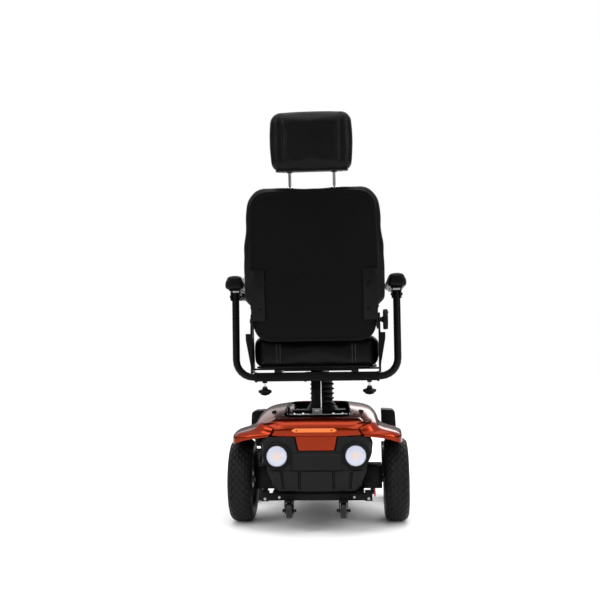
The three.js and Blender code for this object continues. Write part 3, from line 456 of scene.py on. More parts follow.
# Smooth shading that keeps edges sharper than 38 degrees hard.
def smooth_by_angle(obj):
    tree = bpy.data.node_groups.get("hard_edges")
    if tree is None:
        tree = bpy.data.node_groups.new("hard_edges", "GeometryNodeTree")
        tree.interface.new_socket("Geometry", in_out="INPUT", socket_type="NodeSocketGeometry")
        tree.interface.new_socket("Geometry", in_out="OUTPUT", socket_type="NodeSocketGeometry")
        enter, leave = tree.nodes.new("NodeGroupInput"), tree.nodes.new("NodeGroupOutput")
        angle = tree.nodes.new("GeometryNodeInputMeshEdgeAngle")
        over = tree.nodes.new("FunctionNodeCompare")
        over.data_type, over.operation = "FLOAT", "LESS_THAN"
        over.inputs["B"].default_value = DEG(38)
        edges = tree.nodes.new("GeometryNodeSetShadeSmooth")
        edges.domain = "EDGE"
        faces = tree.nodes.new("GeometryNodeSetShadeSmooth")
        faces.domain = "FACE"
        tree.links.new(enter.outputs[0], faces.inputs["Geometry"])
        tree.links.new(faces.outputs[0], edges.inputs["Geometry"])
        tree.links.new(angle.outputs["Unsigned Angle"], over.inputs["A"])
        tree.links.new(over.outputs["Result"], edges.inputs["Shade Smooth"])
        tree.links.new(edges.outputs[0], leave.inputs[0])
    obj.modifiers.new("hard_edges", "NODES").node_group = tree

finish_kept()

# %% [markdown]
# ## Drive wheels
# Pneumatic tyres. The tread is cut into the rubber: rows of waves that cross to make diamonds.

# %% Drive tyres
TYRE_R, TRACK, AXLE_Y = 0.143, 0.268, -0.240

# Radius and place across, as t runs 0..1 from the inner bead over the tread to the outer one.
def tyre_profile(t):
    keys = [(0.0885, -0.027), (0.098, -0.035), (0.112, -0.0408), (0.124, -0.0408),
            (0.134, -0.0365), (0.140, -0.028), (0.1428, -0.016), (0.1432, 0.0),
            (0.1428, 0.016), (0.140, 0.028), (0.134, 0.0365), (0.124, 0.0408),
            (0.112, 0.0408), (0.098, 0.035), (0.0885, 0.027)]
    x = t * (len(keys) - 1)
    i = min(int(x), len(keys) - 2)
    f = x - i
    p = [Vector(keys[max(0, min(len(keys) - 1, i + d))]) for d in (-1, 0, 1, 2)]
    return between(*p, f)

# How deep the groove is at a place on the tread.
def tread_depth(x, angle):
    waves = 34
    swing = math.sin(angle * waves)
    deep = 0.0
    for row in range(-3, 4):
        line = row * 0.0115 + (0.0034 if row % 2 else -0.0034) * swing
        gap = abs(x - line)
        deep = max(deep, 1 - smoothstep(0.0006, 0.0019, gap))
    cross = abs(((angle * waves / math.pi) % 1.0) - 0.5)
    if abs(x) > 0.03:
        deep = max(deep, 1 - smoothstep(0.02, 0.10, abs(cross - 0.25)))
    return deep * 0.0030 * (1 - smoothstep(0.036, 0.041, abs(x)))

# The tyre as one turned mesh with its tread cut in.
def drive_tyre(label, side):
    around, across = ((408, 96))
    verts, faces = [], []
    for i in range(around):
        a = 2 * math.pi * i / around
        for k in range(across + 1):
            r, x = tyre_profile(k / across)
            on_tread = smoothstep(0.126, 0.136, r)
            r -= tread_depth(x, a) * on_tread
            if 0.102 < r < 0.1035 or 0.117 < r < 0.1182:
                x *= 1.012
            verts.append((side * TRACK + x, AXLE_Y + r * math.sin(a), TYRE_R - r * math.cos(a)))
    n = across + 1
    for i in range(around):
        for k in range(across):
            a, b = i * n + k, ((i + 1) % around) * n + k
            faces.append((a, b, b + 1, a + 1))
        faces.append((i * n + across, ((i + 1) % around) * n + across,
                      ((i + 1) % around) * n, i * n))
    obj = build(f"tyre_{label}", verts, faces, "tyre", f"drive_wheel_{label}", None, 60)
    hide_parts(f"drive_tyre_{label}")

# Hub cap, rim bolts and valve.
def wheel_trim(label, side):
    body = f"drive_wheel_{label}"
    x = side * (TRACK + 0.027)
    lathe(f"hub_cap_{label}", [(0, 0.010), (0.014, 0.009), (0.022, 0.005), (0.024, 0),
                               (0.024, -0.004), (0, -0.004)],
          (x, AXLE_Y, TYRE_R), (side, 0, 0), "plastic", body)
    for i in range(5):
        a = 2 * math.pi * i / 5
        centre = (side * (TRACK + 0.0072), AXLE_Y + 0.050 * math.sin(a),
                  TYRE_R + 0.050 * math.cos(a))
        bolt(f"rim_bolt_{label}_{i}", centre, (side, 0, 0), 0.006, body)
    tube(f"valve_{label}", [(side * 0.2755, AXLE_Y, TYRE_R + 0.071),
                            (side * 0.293, AXLE_Y, TYRE_R + 0.068)], 0.003, "rubber", body)

for label, side in SIDES:
    drive_tyre(label, side)
    wheel_trim(label, side)
print("drive wheels done")

# %% [markdown]
# ## Body shroud
# A skin lofted through stations from tail to nose, smoothed both ways, with wheel arches and the
# opening round the lift post cut out. A separate tail band wraps the rear edge.

# %% Shroud skin
STATIONS = [
    (-436, 345, 128, 150, 322, 158, 318, 312), (-420, 360, 160, 192, 326, 236, 314, 300),
    (-396, 367, 172, 206, 334, 276, 316, 286), (-330, 382, 176, 208, 338, 284, 318, 290),
    (-240, 396, 178, 210, 338, 286, 316, 296), (-150, 402, 178, 208, 330, 282, 304, 288),
    (-84, 402, 174, 206, 318, 240, 292, 280), (0, 396, 168, 204, 300, 210, 284, 276),
    (110, 376, 150, 196, 290, 202, 284, 279), (210, 342, 124, 176, 286, 182, 282, 279),
    (280, 308, 100, 132, 288, 136, 284, 279), (322, 286, 78, 96, 281, 98, 280, 279)]

# The section values a share u of the way from tail to nose.
def station_at(u):
    x = u * (len(STATIONS) - 1)
    i = min(int(x), len(STATIONS) - 2)
    rows = [STATIONS[max(0, min(len(STATIONS) - 1, i + d))] for d in (-1, 0, 1, 2)]
    return [between(*values, x - i) / 1000 for values in zip(*rows)]

# Half a section from the crown to the fender hem, rounded by cutting its corners.
def section(values):
    y, top, top_half, wall_half, wall_z, fender_half, fender_z, hem = values
    right = [(0, top), (top_half * 0.5, top), (top_half, top - 0.012),
             ((top_half + wall_half) / 2 + 0.006, (top + wall_z) / 2 + 0.004),
             (wall_half, wall_z), (fender_half, fender_z), (fender_half, hem)]
    for _ in range(3):
        cut = [right[0]]
        for (x0, z0), (x1, z1) in zip(right, right[1:]):
            cut += [(x0 * 0.8 + x1 * 0.2, z0 * 0.8 + z1 * 0.2),
                    (x0 * 0.2 + x1 * 0.8, z0 * 0.2 + z1 * 0.8)]
        right = cut + [right[-1]]
    return [(-x, y, z) for x, z in reversed(right[1:])] + [(x, y, z) for x, z in right]

# The skin as a closed sheet: an outer surface, an inner one a wall's thickness in, and edges.
def skin_sheet(name, wall=0.004):
    count = 110
    rings = []
    for i in range(count + 1):
        values = station_at(i / count)
        rise = (TYRE_R + 0.014) ** 2 - (values[0] - AXLE_Y) ** 2
        if rise > 0:
            values[7] = max(values[7], TYRE_R + math.sqrt(rise) - 0.001)
        rings.append([Vector(p) for p in section(values)])
    n = len(rings[0])
    verts = [p for ring in rings for p in ring]
    for i in range(count + 1):
        for k in range(n):
            along = rings[min(i + 1, count)][k] - rings[max(i - 1, 0)][k]
            across = rings[i][min(k + 1, n - 1)] - rings[i][max(k - 1, 0)]
            verts.append(rings[i][k] - across.cross(along).normalized() * -wall)
    half = (count + 1) * n
    faces = []
    for i in range(count):
        for k in range(n - 1):
            a, b = i * n + k, i * n + k + 1
            faces += [(a, b, b + n, a + n), (half + a, half + a + n, half + b + n, half + b)]
        for k in (0, n - 1):
            a = i * n + k
            faces.append((a, a + n, half + a + n, half + a))
    for i in (0, count):
        faces += [(i * n + k, i * n + k + 1, half + i * n + k + 1, half + i * n + k)
                  for k in range(n - 1)]
    return build(name, verts, faces, "paint", "base", None, 0)

# Cuts the tool out of the piece and removes the tool.
def cut_away(obj, tool):
    cut = obj.modifiers.new("cut", "BOOLEAN")
    cut.object, cut.operation, cut.solver = tool, "DIFFERENCE", "EXACT"
    bpy.context.view_layer.update()
    mesh = bpy.data.meshes.new_from_object(obj.evaluated_get(
        bpy.context.evaluated_depsgraph_get()))
    obj.modifiers.clear()
    obj.data = mesh
    bpy.data.objects.remove(tool)

# Corners (x, y, radius) joined by curves.
def round_outline(corners, steps=10):
    points = []
    for i, (x, y, r) in enumerate(corners):
        here = Vector((x, y))
        back = (Vector(corners[i - 1][:2]) - here).normalized() * r
        ahead = (Vector(corners[(i + 1) % len(corners)][:2]) - here).normalized() * r
        if not r:
            points.append(here)
            continue
        for s in range(steps + 1):
            t = s / steps
            points.append((here + back) * (1 - t) ** 2 + here * 2 * t * (1 - t)
                          + (here + ahead) * t * t)
    return points

# A flat plate of an outline between two places on an axis.
def slab(name, outline, axis, lo, hi, material, body, matrix=None, bevel=0.0):
    def place(p, h):
        return {"X": (h, p[0], p[1]), "Y": (p[0], h, p[1]), "Z": (p[0], p[1], h)}[axis]
    n = len(outline)
    verts = [place(p, lo) for p in outline] + [place(p, hi) for p in outline]
    faces = [tuple(range(n))[::-1], tuple(range(n, 2 * n))]
    faces += [(k, (k + 1) % n, (k + 1) % n + n, k + n) for k in range(n)]
    obj = build(name, verts, faces, material, body, matrix, 40)
    if bevel:
        round_edges(obj, bevel)
    return obj

OPENING = [(-0.118, -0.392, 0.060), (0.118, -0.392, 0.060), (0.104, -0.072, 0.04),
           (-0.104, -0.072, 0.04)]

# The painted skin with its opening.
def body_shroud():
    skin = skin_sheet("shroud")
    cut_away(skin, slab("opening", round_outline(OPENING), "Z", 0.28, 0.5, "paint", "base"))
    shade(skin, 34)
    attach(skin, "base")
    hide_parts("body_shroud")
    return skin

body_shroud()

# Lower nose, battery side walls and the front lamps.
def lower_shroud():
    nose = [(0.113, 0.118), (0.286, 0.118), (0.300, 0.150), (0.322, 0.200), (0.322, 0.283),
            (0.318, 0.283), (0.318, 0.201), (0.296, 0.152), (0.283, 0.122), (0.113, 0.122)]
    slab("nose_front", nose, "X", -0.108, 0.108, "plastic", "base")
    for label, side in SIDES:
        x = side * 0.110
        slab(f"nose_side_{label}", [(0.113, 0.118), (0.286, 0.118), (0.322, 0.200),
                                    (0.322, 0.283), (0.113, 0.340)],
             "X", x - 0.002, x + 0.002, "plastic", "base")
        wall = side * 0.160
        slab(f"battery_wall_{label}", [(-0.064, 0.118), (0.117, 0.118), (0.117, 0.360),
                                       (-0.064, 0.380)],
             "X", wall - 0.002, wall + 0.002, "plastic", "base")
        block(f"battery_front_{label}", (min(side * 0.108, side * 0.162), 0.113, 0.118),
              (max(side * 0.108, side * 0.162), 0.117, 0.350), "plastic", "base", 0.0005)
        lamp = (side * 0.062, 0.323, 0.245)
        lathe(f"front_lamp_{label}", [(0, 0.006), (0.014, 0.005), (0.019, 0.0), (0.019, -0.006),
                                      (0, -0.006)], lamp, (0, 1, 0), "lens", "base")
        lathe(f"front_bezel_{label}", [(0.019, -0.004), (0.019, 0.003), (0.023, 0.003),
                                       (0.024, -0.004)], lamp, (0, 1, 0), "chrome", "base")

lower_shroud()

# %% Tail band, fender lips, reflector and shroud caps
# The band follows the tail in plan; its section is a flat face with a chamfer above.
def tail_band():
    rows = 72
    face = [(0.022, 0.3125), (0.003, 0.3125), (0.0, 0.3145), (-0.0008, 0.331), (0.0, 0.3475),
            (0.0025, 0.3515), (0.012, 0.3625), (0.018, 0.3665), (0.046, 0.3715), (0.050, 0.3690),
            (0.046, 0.3655), (0.022, 0.352)]
    verts, faces = [], []
    for i in range(rows + 1):
        u = -1 + 2 * i / rows
        x = u * 0.186
        curve = 0.036 * abs(u) ** 3.2
        lift = -0.0035 * u * u
        fade = 1 - 0.55 * smoothstep(0.80, 1.0, abs(u))
        for back, z in face:
            verts.append((x * (1 - back * 1.1), -0.4435 + curve + back,
                          0.331 + (z - 0.331) * fade + lift))
    n = len(face)
    for i in range(rows):
        for k in range(n):
            a, b = i * n + k, i * n + (k + 1) % n
            faces.append((a, b, b + n, a + n))
    faces += [tuple(range(n)), tuple(range(rows * n, rows * n + n))[::-1]]
    obj = build("tail_band", verts, faces, "paint", "base", None, 32)

# A rolled edge along each fender hem.
def fender_lips():
    for label, side in SIDES:
        points = []
        for i in range(41):
            y = -0.425 + i * 0.0092
            u = next((k for k in range(1, 2000)
                      if station_at(k / 2000)[0] > y), 1) / 2000
            values = station_at(u)
            points.append((side * (values[5] - 0.001), y, values[7] + 0.003))
        tube(f"fender_lip_{label}", points, 0.0032, "paint", "base", None, 8)

# A rubber rim round the opening.
def opening_rim():
    outline = round_outline([(x * 1.012, y + (0.002 if y > -0.2 else -0.002), r)
                             for x, y, r in OPENING], 8)
    points = []
    for p in outline + outline[:1]:
        k = next((k for k in range(1, 1200) if station_at(k / 1200)[0] > p.y), 1199)
        points.append((p.x, p.y, station_at(k / 1200)[1] - 0.0025))
    tube("opening_rim", points, 0.0042, "plastic", "base", None, 8)

# The amber strip on the tail band and its two screws.
def reflector():
    outline = round_outline([(-0.076, 0.3325, 0.004), (-0.066, 0.3265, 0.004),
                             (0.066, 0.3265, 0.004), (0.076, 0.3325, 0.004),
                             (0.066, 0.3395, 0.004), (-0.066, 0.3395, 0.004)], 4)
    outline = [(p.x - 0.006, p.y) for p in outline]
    slab("reflector", outline, "Y", -0.4475, -0.4405, "amber", "base", None, 0.0012)
    for i, x in enumerate((-0.064, 0.052)):
        bolt(f"reflector_screw_{i}", (x, -0.4472, 0.333), (0, -1, 0), 0.0026, "base", "plastic")

# Two round caps on top of the tail.
def shroud_caps():
    for label, side in SIDES:
        centre = (side * 0.150, -0.300, 0.3795)
        lathe(f"shroud_cap_{label}", [(0, 0.0095), (0.006, 0.009), (0.0085, 0.006),
                                      (0.0088, 0.001), (0.012, 0.0), (0.012, -0.006),
                                      (0, -0.006)], centre, (side * 0.25, 0, 1), "plastic", "base")

tail_band()
fender_lips()
opening_rim()
reflector()
shroud_caps()
print("shroud done")

# %% [markdown]
# ## Rear bumper
# One moulded face. Its relief is a height over the outline: an upper recess between the lamps, a
# slanted middle panel, four slots below and a raised boss round each lamp.

# %% Bumper face
LAMP = (0.130, 0.250)
BUMPER_LOW, BUMPER_HIGH, FACE_Y = 0.1275, 0.3115, -0.4535

# Half the width of the bumper at a height.
def bumper_half(z):
    keys = [(BUMPER_LOW, 0.118), (0.135, 0.136), (0.152, 0.148), (0.204, 0.165), (0.262, 0.184),
            (0.290, 0.187), (0.304, 0.182), (BUMPER_HIGH, 0.168)]
    for (z0, x0), (z1, x1) in zip(keys, keys[1:]):
        if z <= z1:
            return x0 + (x1 - x0) * smoothstep(z0, z1, z)
    return keys[-1][1]

# Where the face lies at a place across and a height.
def bumper_relief(x, z):
    ax = abs(x)
    y = FACE_Y + 0.022 * (ax / 0.19) ** 3.5
    edge = bumper_half(z) - ax
    y += 0.012 * (1 - smoothstep(0.0, 0.012, edge))
    y += 0.008 * (1 - smoothstep(BUMPER_LOW, 0.138, z))
    panel = smoothstep(0.086 - 0.1 * (z - 0.204), 0.080 - 0.1 * (z - 0.204), ax)
    step = smoothstep(0.2035, 0.2055, z) * (1 - smoothstep(0.2525, 0.2555, z))
    y -= 0.0075 * step * panel * (1 - 0.75 * smoothstep(0.206, 0.254, z))
    recess = smoothstep(0.256, 0.260, z) * (1 - smoothstep(0.098, 0.112, ax))
    y += 0.006 * recess
    pocket = smoothstep(0.264, 0.267, z) * (1 - smoothstep(0.0605, 0.0645, ax - (z - 0.266) * 0.2))
    y += 0.010 * pocket
    y += 0.0028 * (1 - smoothstep(0.2025, 0.2045, z)) * smoothstep(0.199, 0.2035, z)
    for centre, lean in ((0.056, 0.0), (0.112, 0.10)):
        line = centre + lean * (z - 0.17)
        width = 0.0048
        reach = 1 - smoothstep(0.0245, 0.0285, abs(z - 0.170))
        y += 0.0068 * (1 - smoothstep(width * 0.55, width, abs(ax - line))) * reach
    gap = math.hypot(ax - LAMP[0], z - LAMP[1])
    boss = 1 - smoothstep(0.0445, 0.0475, gap)
    y = y * (1 - boss) - 0.4575 * boss
    return y + 0.006 * (1 - smoothstep(0.0372, 0.0385, gap))

# The moulded face and the wall that returns behind it.
def rear_bumper():
    wide, tall = ((300, 170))
    verts, faces = [], []
    for j in range(tall + 1):
        z = BUMPER_LOW + (BUMPER_HIGH - BUMPER_LOW) * j / tall
        for i in range(wide + 1):
            x = (2 * i / wide - 1) * bumper_half(z)
            verts.append((x, bumper_relief(x, z), z))
    for j in range(tall):
        for i in range(wide):
            a = j * (wide + 1) + i
            faces.append((a, a + 1, a + wide + 2, a + wide + 1))
    obj = build("bumper", verts, faces, "bumper", "base", None, 40)
    wall = obj.modifiers.new("wall", "SOLIDIFY")
    wall.thickness, wall.offset = 0.003, 1
    if obj.data.polygons[len(obj.data.polygons) // 2].normal.y < 0:
        wall.offset = -1
    rim_points = []
    for j in range(60):
        z = BUMPER_LOW + (BUMPER_HIGH - BUMPER_LOW) * j / 59
        rim_points.append((bumper_half(z), z))
    outline = rim_points + [(-x, z) for x, z in reversed(rim_points)]
    inner = [(x * 0.975, 0.2195 + (z - 0.2195) * 0.972) for x, z in outline]
    n = len(outline)
    verts = [(x, -0.424, z) for x, z in outline] + [(x, -0.398, z) for x, z in outline]
    verts += [(x, -0.398, z) for x, z in inner] + [(x, -0.424, z) for x, z in inner]
    faces = []
    for a, b in ((0, 1), (1, 2), (2, 3), (3, 0)):
        faces += [(a * n + k, a * n + (k + 1) % n, b * n + (k + 1) % n, b * n + k)
                  for k in range(n)]
    side_wall = build("bumper_return", verts, faces, "bumper", "base", None, 50)
    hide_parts("rear_bumper")

rear_bumper()

# The painted panel behind the bumper's pocket.
slab("tail_panel", round_outline([(-0.059, 0.266, 0.004), (0.059, 0.266, 0.004),
                                  (0.069, 0.3130, 0.002), (-0.069, 0.3130, 0.002)], 4),
     "Y", -0.4432, -0.434, "paint", "base", None, 0.002)

# %% Tail lamps
LED_PITCH = 0.0052

# A domed lens, three rings round it and a diamond of small lights.
def tail_lamp(label, side):
    centre = (side * LAMP[0], -0.4525, LAMP[1])
    dome = [(0, 0.0052)] + [(0.0348 * math.sin(t * 0.157), 0.0052 - 0.006 * (t / 10) ** 3)
                            for t in range(1, 11)]
    dome += [(0.0352, -0.004), (0.0352, -0.012), (0, -0.012)]
    obj = lathe(f"lamp_{label}", dome, centre, (0, -1, 0), "lens", "base", 64)
    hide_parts(f"tail_lamp_{label}")
    for i, (r, h, name) in enumerate(((0.0372, 0.0052, "plastic"), (0.0412, 0.0058, "steel"),
                                      (0.0440, 0.0050, "plastic"))):
        ring = [(r - 0.0018, -0.002), (r - 0.0016, h - 0.0006), (r - 0.0005, h), (r + 0.0006, h),
                (r + 0.0016, h - 0.0009), (r + 0.0019, -0.002)]
        lathe(f"lamp_ring_{label}_{i}", ring, centre, (0, -1, 0), name, "base", 64)
    k = 0
    for i in range(-3, 4):
        for j in range(-3, 4):
            if abs(i) + abs(j) > 3:
                continue
            spot = (centre[0] + i * LED_PITCH, centre[1] - 0.0049,
                    centre[2] + j * LED_PITCH)
            lathe(f"led_{label}_{k}", [(0, 0.0008), (0.0014, 0.0006), (0.0018, 0), (0, -0.001)],
                  spot, (0, -1, 0), "led", "base", 8)
            k += 1

for label, side in SIDES:
    tail_lamp(label, side)
print("bumper and lamps done")

# %% [markdown]
# ## Lift post
# The rubber bellows reaches from the base up to the seat. A zinc plate and latch brackets
# carry the post inside the shroud's opening.

# %% Bellows and post hardware
POST = (0.010, -0.125)

# A folded sleeve from the base up to the seat, baked in place and left off every body.
def bellows():
    z0, z1, folds = 0.394, 0.5127, 7
    pitch = (z1 - z0) / folds
    profile = [(0.0335, z0)]
    for i in range(folds):
        base = z0 + i * pitch
        for f, r in ((0.0, 0.0375), (0.22, 0.0385), (0.40, 0.0435), (0.50, 0.0452),
                     (0.60, 0.0435), (0.78, 0.0385)):
            profile.append((r, base + f * pitch))
    profile += [(0.0375, z1), (0.0335, z1)]
    obj = lathe("bellows", profile, (*POST, 0), (0, 0, 1), "rubber", "base", 64, None, 60)
    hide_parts("lift_bellows")
    obj.parent = None
    if "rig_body" in obj:
        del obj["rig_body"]
    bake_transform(obj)
    lathe("bellows_collar", [(0.033, 0), (0.0475, 0), (0.0485, 0.002), (0.0475, 0.005),
                             (0.039, 0.006), (0.033, 0.006)],
          (*POST, 0.3925), (0, 0, 1), "plastic", "base", 64)

# The carrier plate, latches, guide rail strip and their bolts.
def post_hardware():
    block("carrier_plate", (-0.113, -0.2265, 0.366), (0.113, -0.2015, 0.3685), "zinc", "base")
    for i, x in enumerate((-0.088, -0.056, 0.052, 0.086)):
        bolt(f"carrier_bolt_{i}", (x, -0.214, 0.3685), (0, 0, 1), 0.0055, "base")
    for label, side in SIDES:
        x = side * 0.106
        outline = round_outline([(-0.262, 0.352, 0.004), (-0.208, 0.352, 0.004),
                                 (-0.200, 0.392, 0.006), (-0.226, 0.3945, 0.008),
                                 (-0.240, 0.374, 0.008), (-0.262, 0.366, 0.004)], 4)
        slab(f"latch_{label}", outline, "X", x - 0.003, x + 0.003, "plastic", "base", None, 0.001)
        bolt(f"latch_bolt_{label}", (x + side * 0.003, -0.222, 0.372), (side, 0, 0), 0.005, "base")
        bolt(f"latch_bolt_rear_{label}", (x, -0.2622, 0.359), (0, -1, 0), 0.004, "base")
    # Bright wear strip down the guide rail, and its stop bolt.
    block("rail_strip", (0.0075, -0.2002, 0.330), (0.0105, -0.1985, 0.5195), "chrome", "seat",
          0.0004)
    for i, z in enumerate((0.494, 0.508)):
        bolt(f"rail_bolt_{i}", (-0.012 + i * 0.012, -0.199, z), (0, -1, 0), 0.0042, "seat")
    block("rail_head", (-0.046, -0.222, 0.4915), (-0.014, -0.200, 0.5185), "rubber", "seat",
          0.002)
    for i in range(5):
        x = -0.0435 + i * 0.0062
        block(f"rail_rib_{i}", (x, -0.2240, 0.493), (x + 0.0028, -0.2215, 0.517), "rubber",
              "seat", 0.0005)
    block("rail_foot", (0.006, -0.212, 0.4925), (0.034, -0.199, 0.5185), "plastic", "seat", 0.002)
    bolt("carrier_centre", (-0.006, -0.2262, 0.3775), (0, -1, 0), 0.007, "base", "zinc")
    block("carrier_block", (-0.022, -0.2258, 0.3665), (0.012, -0.2025, 0.3885), "zinc", "base")

bellows()
post_hardware()

# %% [markdown]
# ## Cushions
# Each cushion starts as a rounded block cut into panels. The panels are blown up like cloth
# between their pinned seams, which gives real fullness and small pulls beside the stitches.

# %% Cushion tools
# A closed cube on a grid: place(u, v, w), each in -1..1, gives where every point lies.
def pillow_mesh(name, size, step, place):
    counts = [max(4, int(s / step)) for s in size]
    work = bmesh.new()
    bmesh.ops.create_cube(work, size=2)
    for axis, count in enumerate(counts):
        for i in range(1, count):
            normal = Vector([1.0 if k == axis else 0.0 for k in range(3)])
            at = -1 + 2 * i / count
            bmesh.ops.bisect_plane(work, geom=work.verts[:] + work.edges[:] + work.faces[:],
                                   plane_co=normal * at, plane_no=normal)
    for vert in work.verts:
        vert.co = place(*vert.co)
    mesh = bpy.data.meshes.new(name)
    work.to_mesh(mesh)
    work.free()
    return mesh

# Pulls a point of the cube onto a box with rounded edges of the given radius.
def round_box(u, v, w, half, radius):
    p = Vector((u * half[0], v * half[1], w * half[2]))
    core = Vector([max(-h + r, min(h - r, c)) for c, h, r in zip(p, half, radius)])
    d = Vector([(c - k) / r for c, k, r in zip(p, core, radius)])
    if d.length > 1e-9:
        reach = max(abs(c) for c in d)
        d = d.normalized() * reach if reach < 1 else d.normalized()
    return core + Vector([c * r for c, r in zip(d, radius)])

# Blows the mesh up between pinned points, then keeps it within a limit of where it was.
def inflate(obj, pinned, pressure, limit, calm=6, frames=14):
    rest = [v.co.copy() for v in obj.data.vertices]
    group = obj.vertex_groups.new(name="pinned")
    for vert in obj.data.vertices:
        weight = pinned(vert.co)
        if weight > 0:
            group.add([vert.index], weight, "REPLACE")
    cloth = obj.modifiers.new("cloth", "CLOTH")
    cloth.settings.quality = 5
    cloth.settings.mass = 0.3
    cloth.settings.tension_stiffness = cloth.settings.compression_stiffness = 22
    cloth.settings.bending_stiffness = 0.8
    cloth.settings.use_pressure = True
    cloth.settings.uniform_pressure_force = pressure
    cloth.settings.vertex_group_mass = "pinned"
    cloth.settings.shrink_min = -0.03
    cloth.settings.effector_weights.gravity = 0
    cloth.collision_settings.use_collision = False
    cloth.point_cache.frame_start, cloth.point_cache.frame_end = 1, frames
    for step in range(1, frames + 1):
        scene.frame_set(step)
    shape = obj.evaluated_get(bpy.context.evaluated_depsgraph_get()).to_mesh()
    moves = [v.co - old for v, old in zip(shape.vertices, rest)]
    obj.modifiers.clear()
    scene.frame_set(1)
    for step in range(calm):
        total, count = [m.copy() for m in moves], [1] * len(moves)
        for edge in obj.data.edges:
            a, b = edge.vertices
            total[a] += moves[b]
            total[b] += moves[a]
            count[a] += 1
            count[b] += 1
        moves = [t / c for t, c in zip(total, count)]
    for vert, old, move in zip(obj.data.vertices, rest, moves):
        if move.length > limit:
            move *= limit / move.length
        vert.co = old + move
    print(obj.name, "swelled", round(1000 * max((v.co - r).length for v, r in
          zip(obj.data.vertices, rest)), 1), "mm")

# A padded piece that stands for one node.
def cushion(name, size, step, place, pinned, node, body, pressure=4.0, limit=0.007,
            matrix=None, calm=6):
    mesh = pillow_mesh(name, size, step, place)
    mesh.materials.append(M["vinyl"])
    obj = bpy.data.objects.new(name, mesh)
    scene.collection.objects.link(obj)
    inflate(obj, pinned, pressure, limit, calm)
    if matrix is not None:
        obj.data.transform(matrix)
    shade(obj, 180)
    smooth = obj.modifiers.new("smooth", "SUBSURF")
    smooth.levels = smooth.render_levels = 1
    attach(obj, body)
    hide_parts(node)
    return obj

# A welt or a line of stitches along points.
def stitches(name, points, body, matrix=None, material="thread", pitch=0.006, radius=0.0006):
    verts, faces = [], []
    points = [Vector(p) for p in points]
    for a, b in zip(points, points[1:]):
        along = (b - a)
        count = max(1, int(along.length / pitch))
        side = along.normalized().orthogonal()
        other = along.normalized().cross(side)
        for i in range(count):
            start = a + along * ((i + 0.15) / count)
            end = a + along * ((i + 0.80) / count)
            base = len(verts)
            for p in (start, end):
                for k in range(6):
                    t = math.pi * k / 3
                    verts.append(p + (side * math.cos(t) + other * math.sin(t)) * radius)
            faces += [(base + k, base + (k + 1) % 6, base + 6 + (k + 1) % 6, base + 6 + k)
                      for k in range(6)]
    return build(name, verts, faces, material, body, matrix, 60)

# %% Seat cushion
SEAM_X = 0.129

# A crowned pad with two sewn channels from front to back.
def seat_cushion():
    centre, half = Vector((0, -0.131, 0.588)), (0.212, 0.219, 0.051)
    def place(u, v, w):
        p = round_box(u, v, w, half, (0.034, 0.034, 0.026))
        groove = math.exp(-((abs(p.x) - SEAM_X) / 0.0042) ** 2)
        outward = Vector((0, p.y / half[1], 0)) if abs(p.y) > half[1] - 0.03 else Vector((0, 0, 0))
        if p.z > 0.02:
            outward += Vector((0, 0, 0.7))
        p -= outward * 0.0055 * groove
        if abs(p.x) > 0.134:
            p.z += 0.004 * (p.z > 0)
        p.z += 0.003 * math.cos(min(1, abs(p.y) / half[1]) * math.pi / 2) * (w > 0)
        return p + centre
    def pinned(p):
        seam = abs(abs(p.x) - SEAM_X) < 0.0045
        under = p.z < 0.541
        return 1.0 if seam or under else 0.0
    cushion("seat", (0.424, 0.438, 0.102), 0.0072, place, pinned, "seat_cushion", "seat",
            4.0, 0.006)
    for label, side in SIDES:
        for i, x in enumerate((0.1235, 0.1345)):
            points = [(side * x, -0.3495, z) for z in (0.553, 0.575, 0.597, 0.620)]
            stitches(f"seat_stitch_{label}_{i}", points, "seat")
    outline = round_outline([(-0.205, -0.345, 0.034), (0.205, -0.345, 0.034),
                             (0.205, 0.083, 0.034), (-0.205, 0.083, 0.034)], 8)
    tube("seat_welt", [(p.x, p.y, 0.5395) for p in outline + outline[:1]], 0.003, "vinyl",
         "seat", None, 8)

seat_cushion()

# %% Backrest: cushion, rear panel, welts and post guides
# Half the width of the back cushion at a height.
def back_half(z):
    keys = [(-0.042, 0.204), (0.034, 0.205), (0.080, 0.236), (0.230, 0.237), (0.330, 0.228),
            (0.449, 0.216)]
    for (z0, x0), (z1, x1) in zip(keys, keys[1:]):
        if z <= z1:
            return x0 + (x1 - x0) * smoothstep(z0, z1, z)
    return keys[-1][1]

FLUTE_X, BAND_Z, POST_X = 0.145, (0.10, 0.30), 0.074

# The front cushion, with two flutes and two bands sewn in.
def back_cushion():
    half = (1.0, 0.043, 0.2455)
    def place(u, v, w):
        z = 0.2035 + w * half[2]
        wide = back_half(z)
        p = round_box(u, v, w, (wide, half[1], half[2]), (0.058, 0.026, 0.058))
        p.z += 0.2035
        p.y -= 0.0025
        if v > 0 and abs(u) < 0.97:
            seam = math.exp(-((abs(p.x) - FLUTE_X) / 0.005) ** 2)
            band = max(math.exp(-((p.z - s) / 0.005) ** 2) for s in BAND_Z)
            p.y -= 0.006 * max(seam, band if abs(p.x) < FLUTE_X else 0)
        return p
    def pinned(p):
        if p.y < -0.036:
            return 1.0
        seam = abs(abs(p.x) - FLUTE_X) < 0.005
        band = abs(p.x) < FLUTE_X and min(abs(p.z - s) for s in BAND_Z) < 0.005
        return 1.0 if p.y > 0.02 and (seam or band) else 0.0
    cushion("back_pad", (0.47, 0.086, 0.48), 0.0075, place, pinned, "back_cushion",
            "backrest", 4.0, 0.0055, BACK, 8)

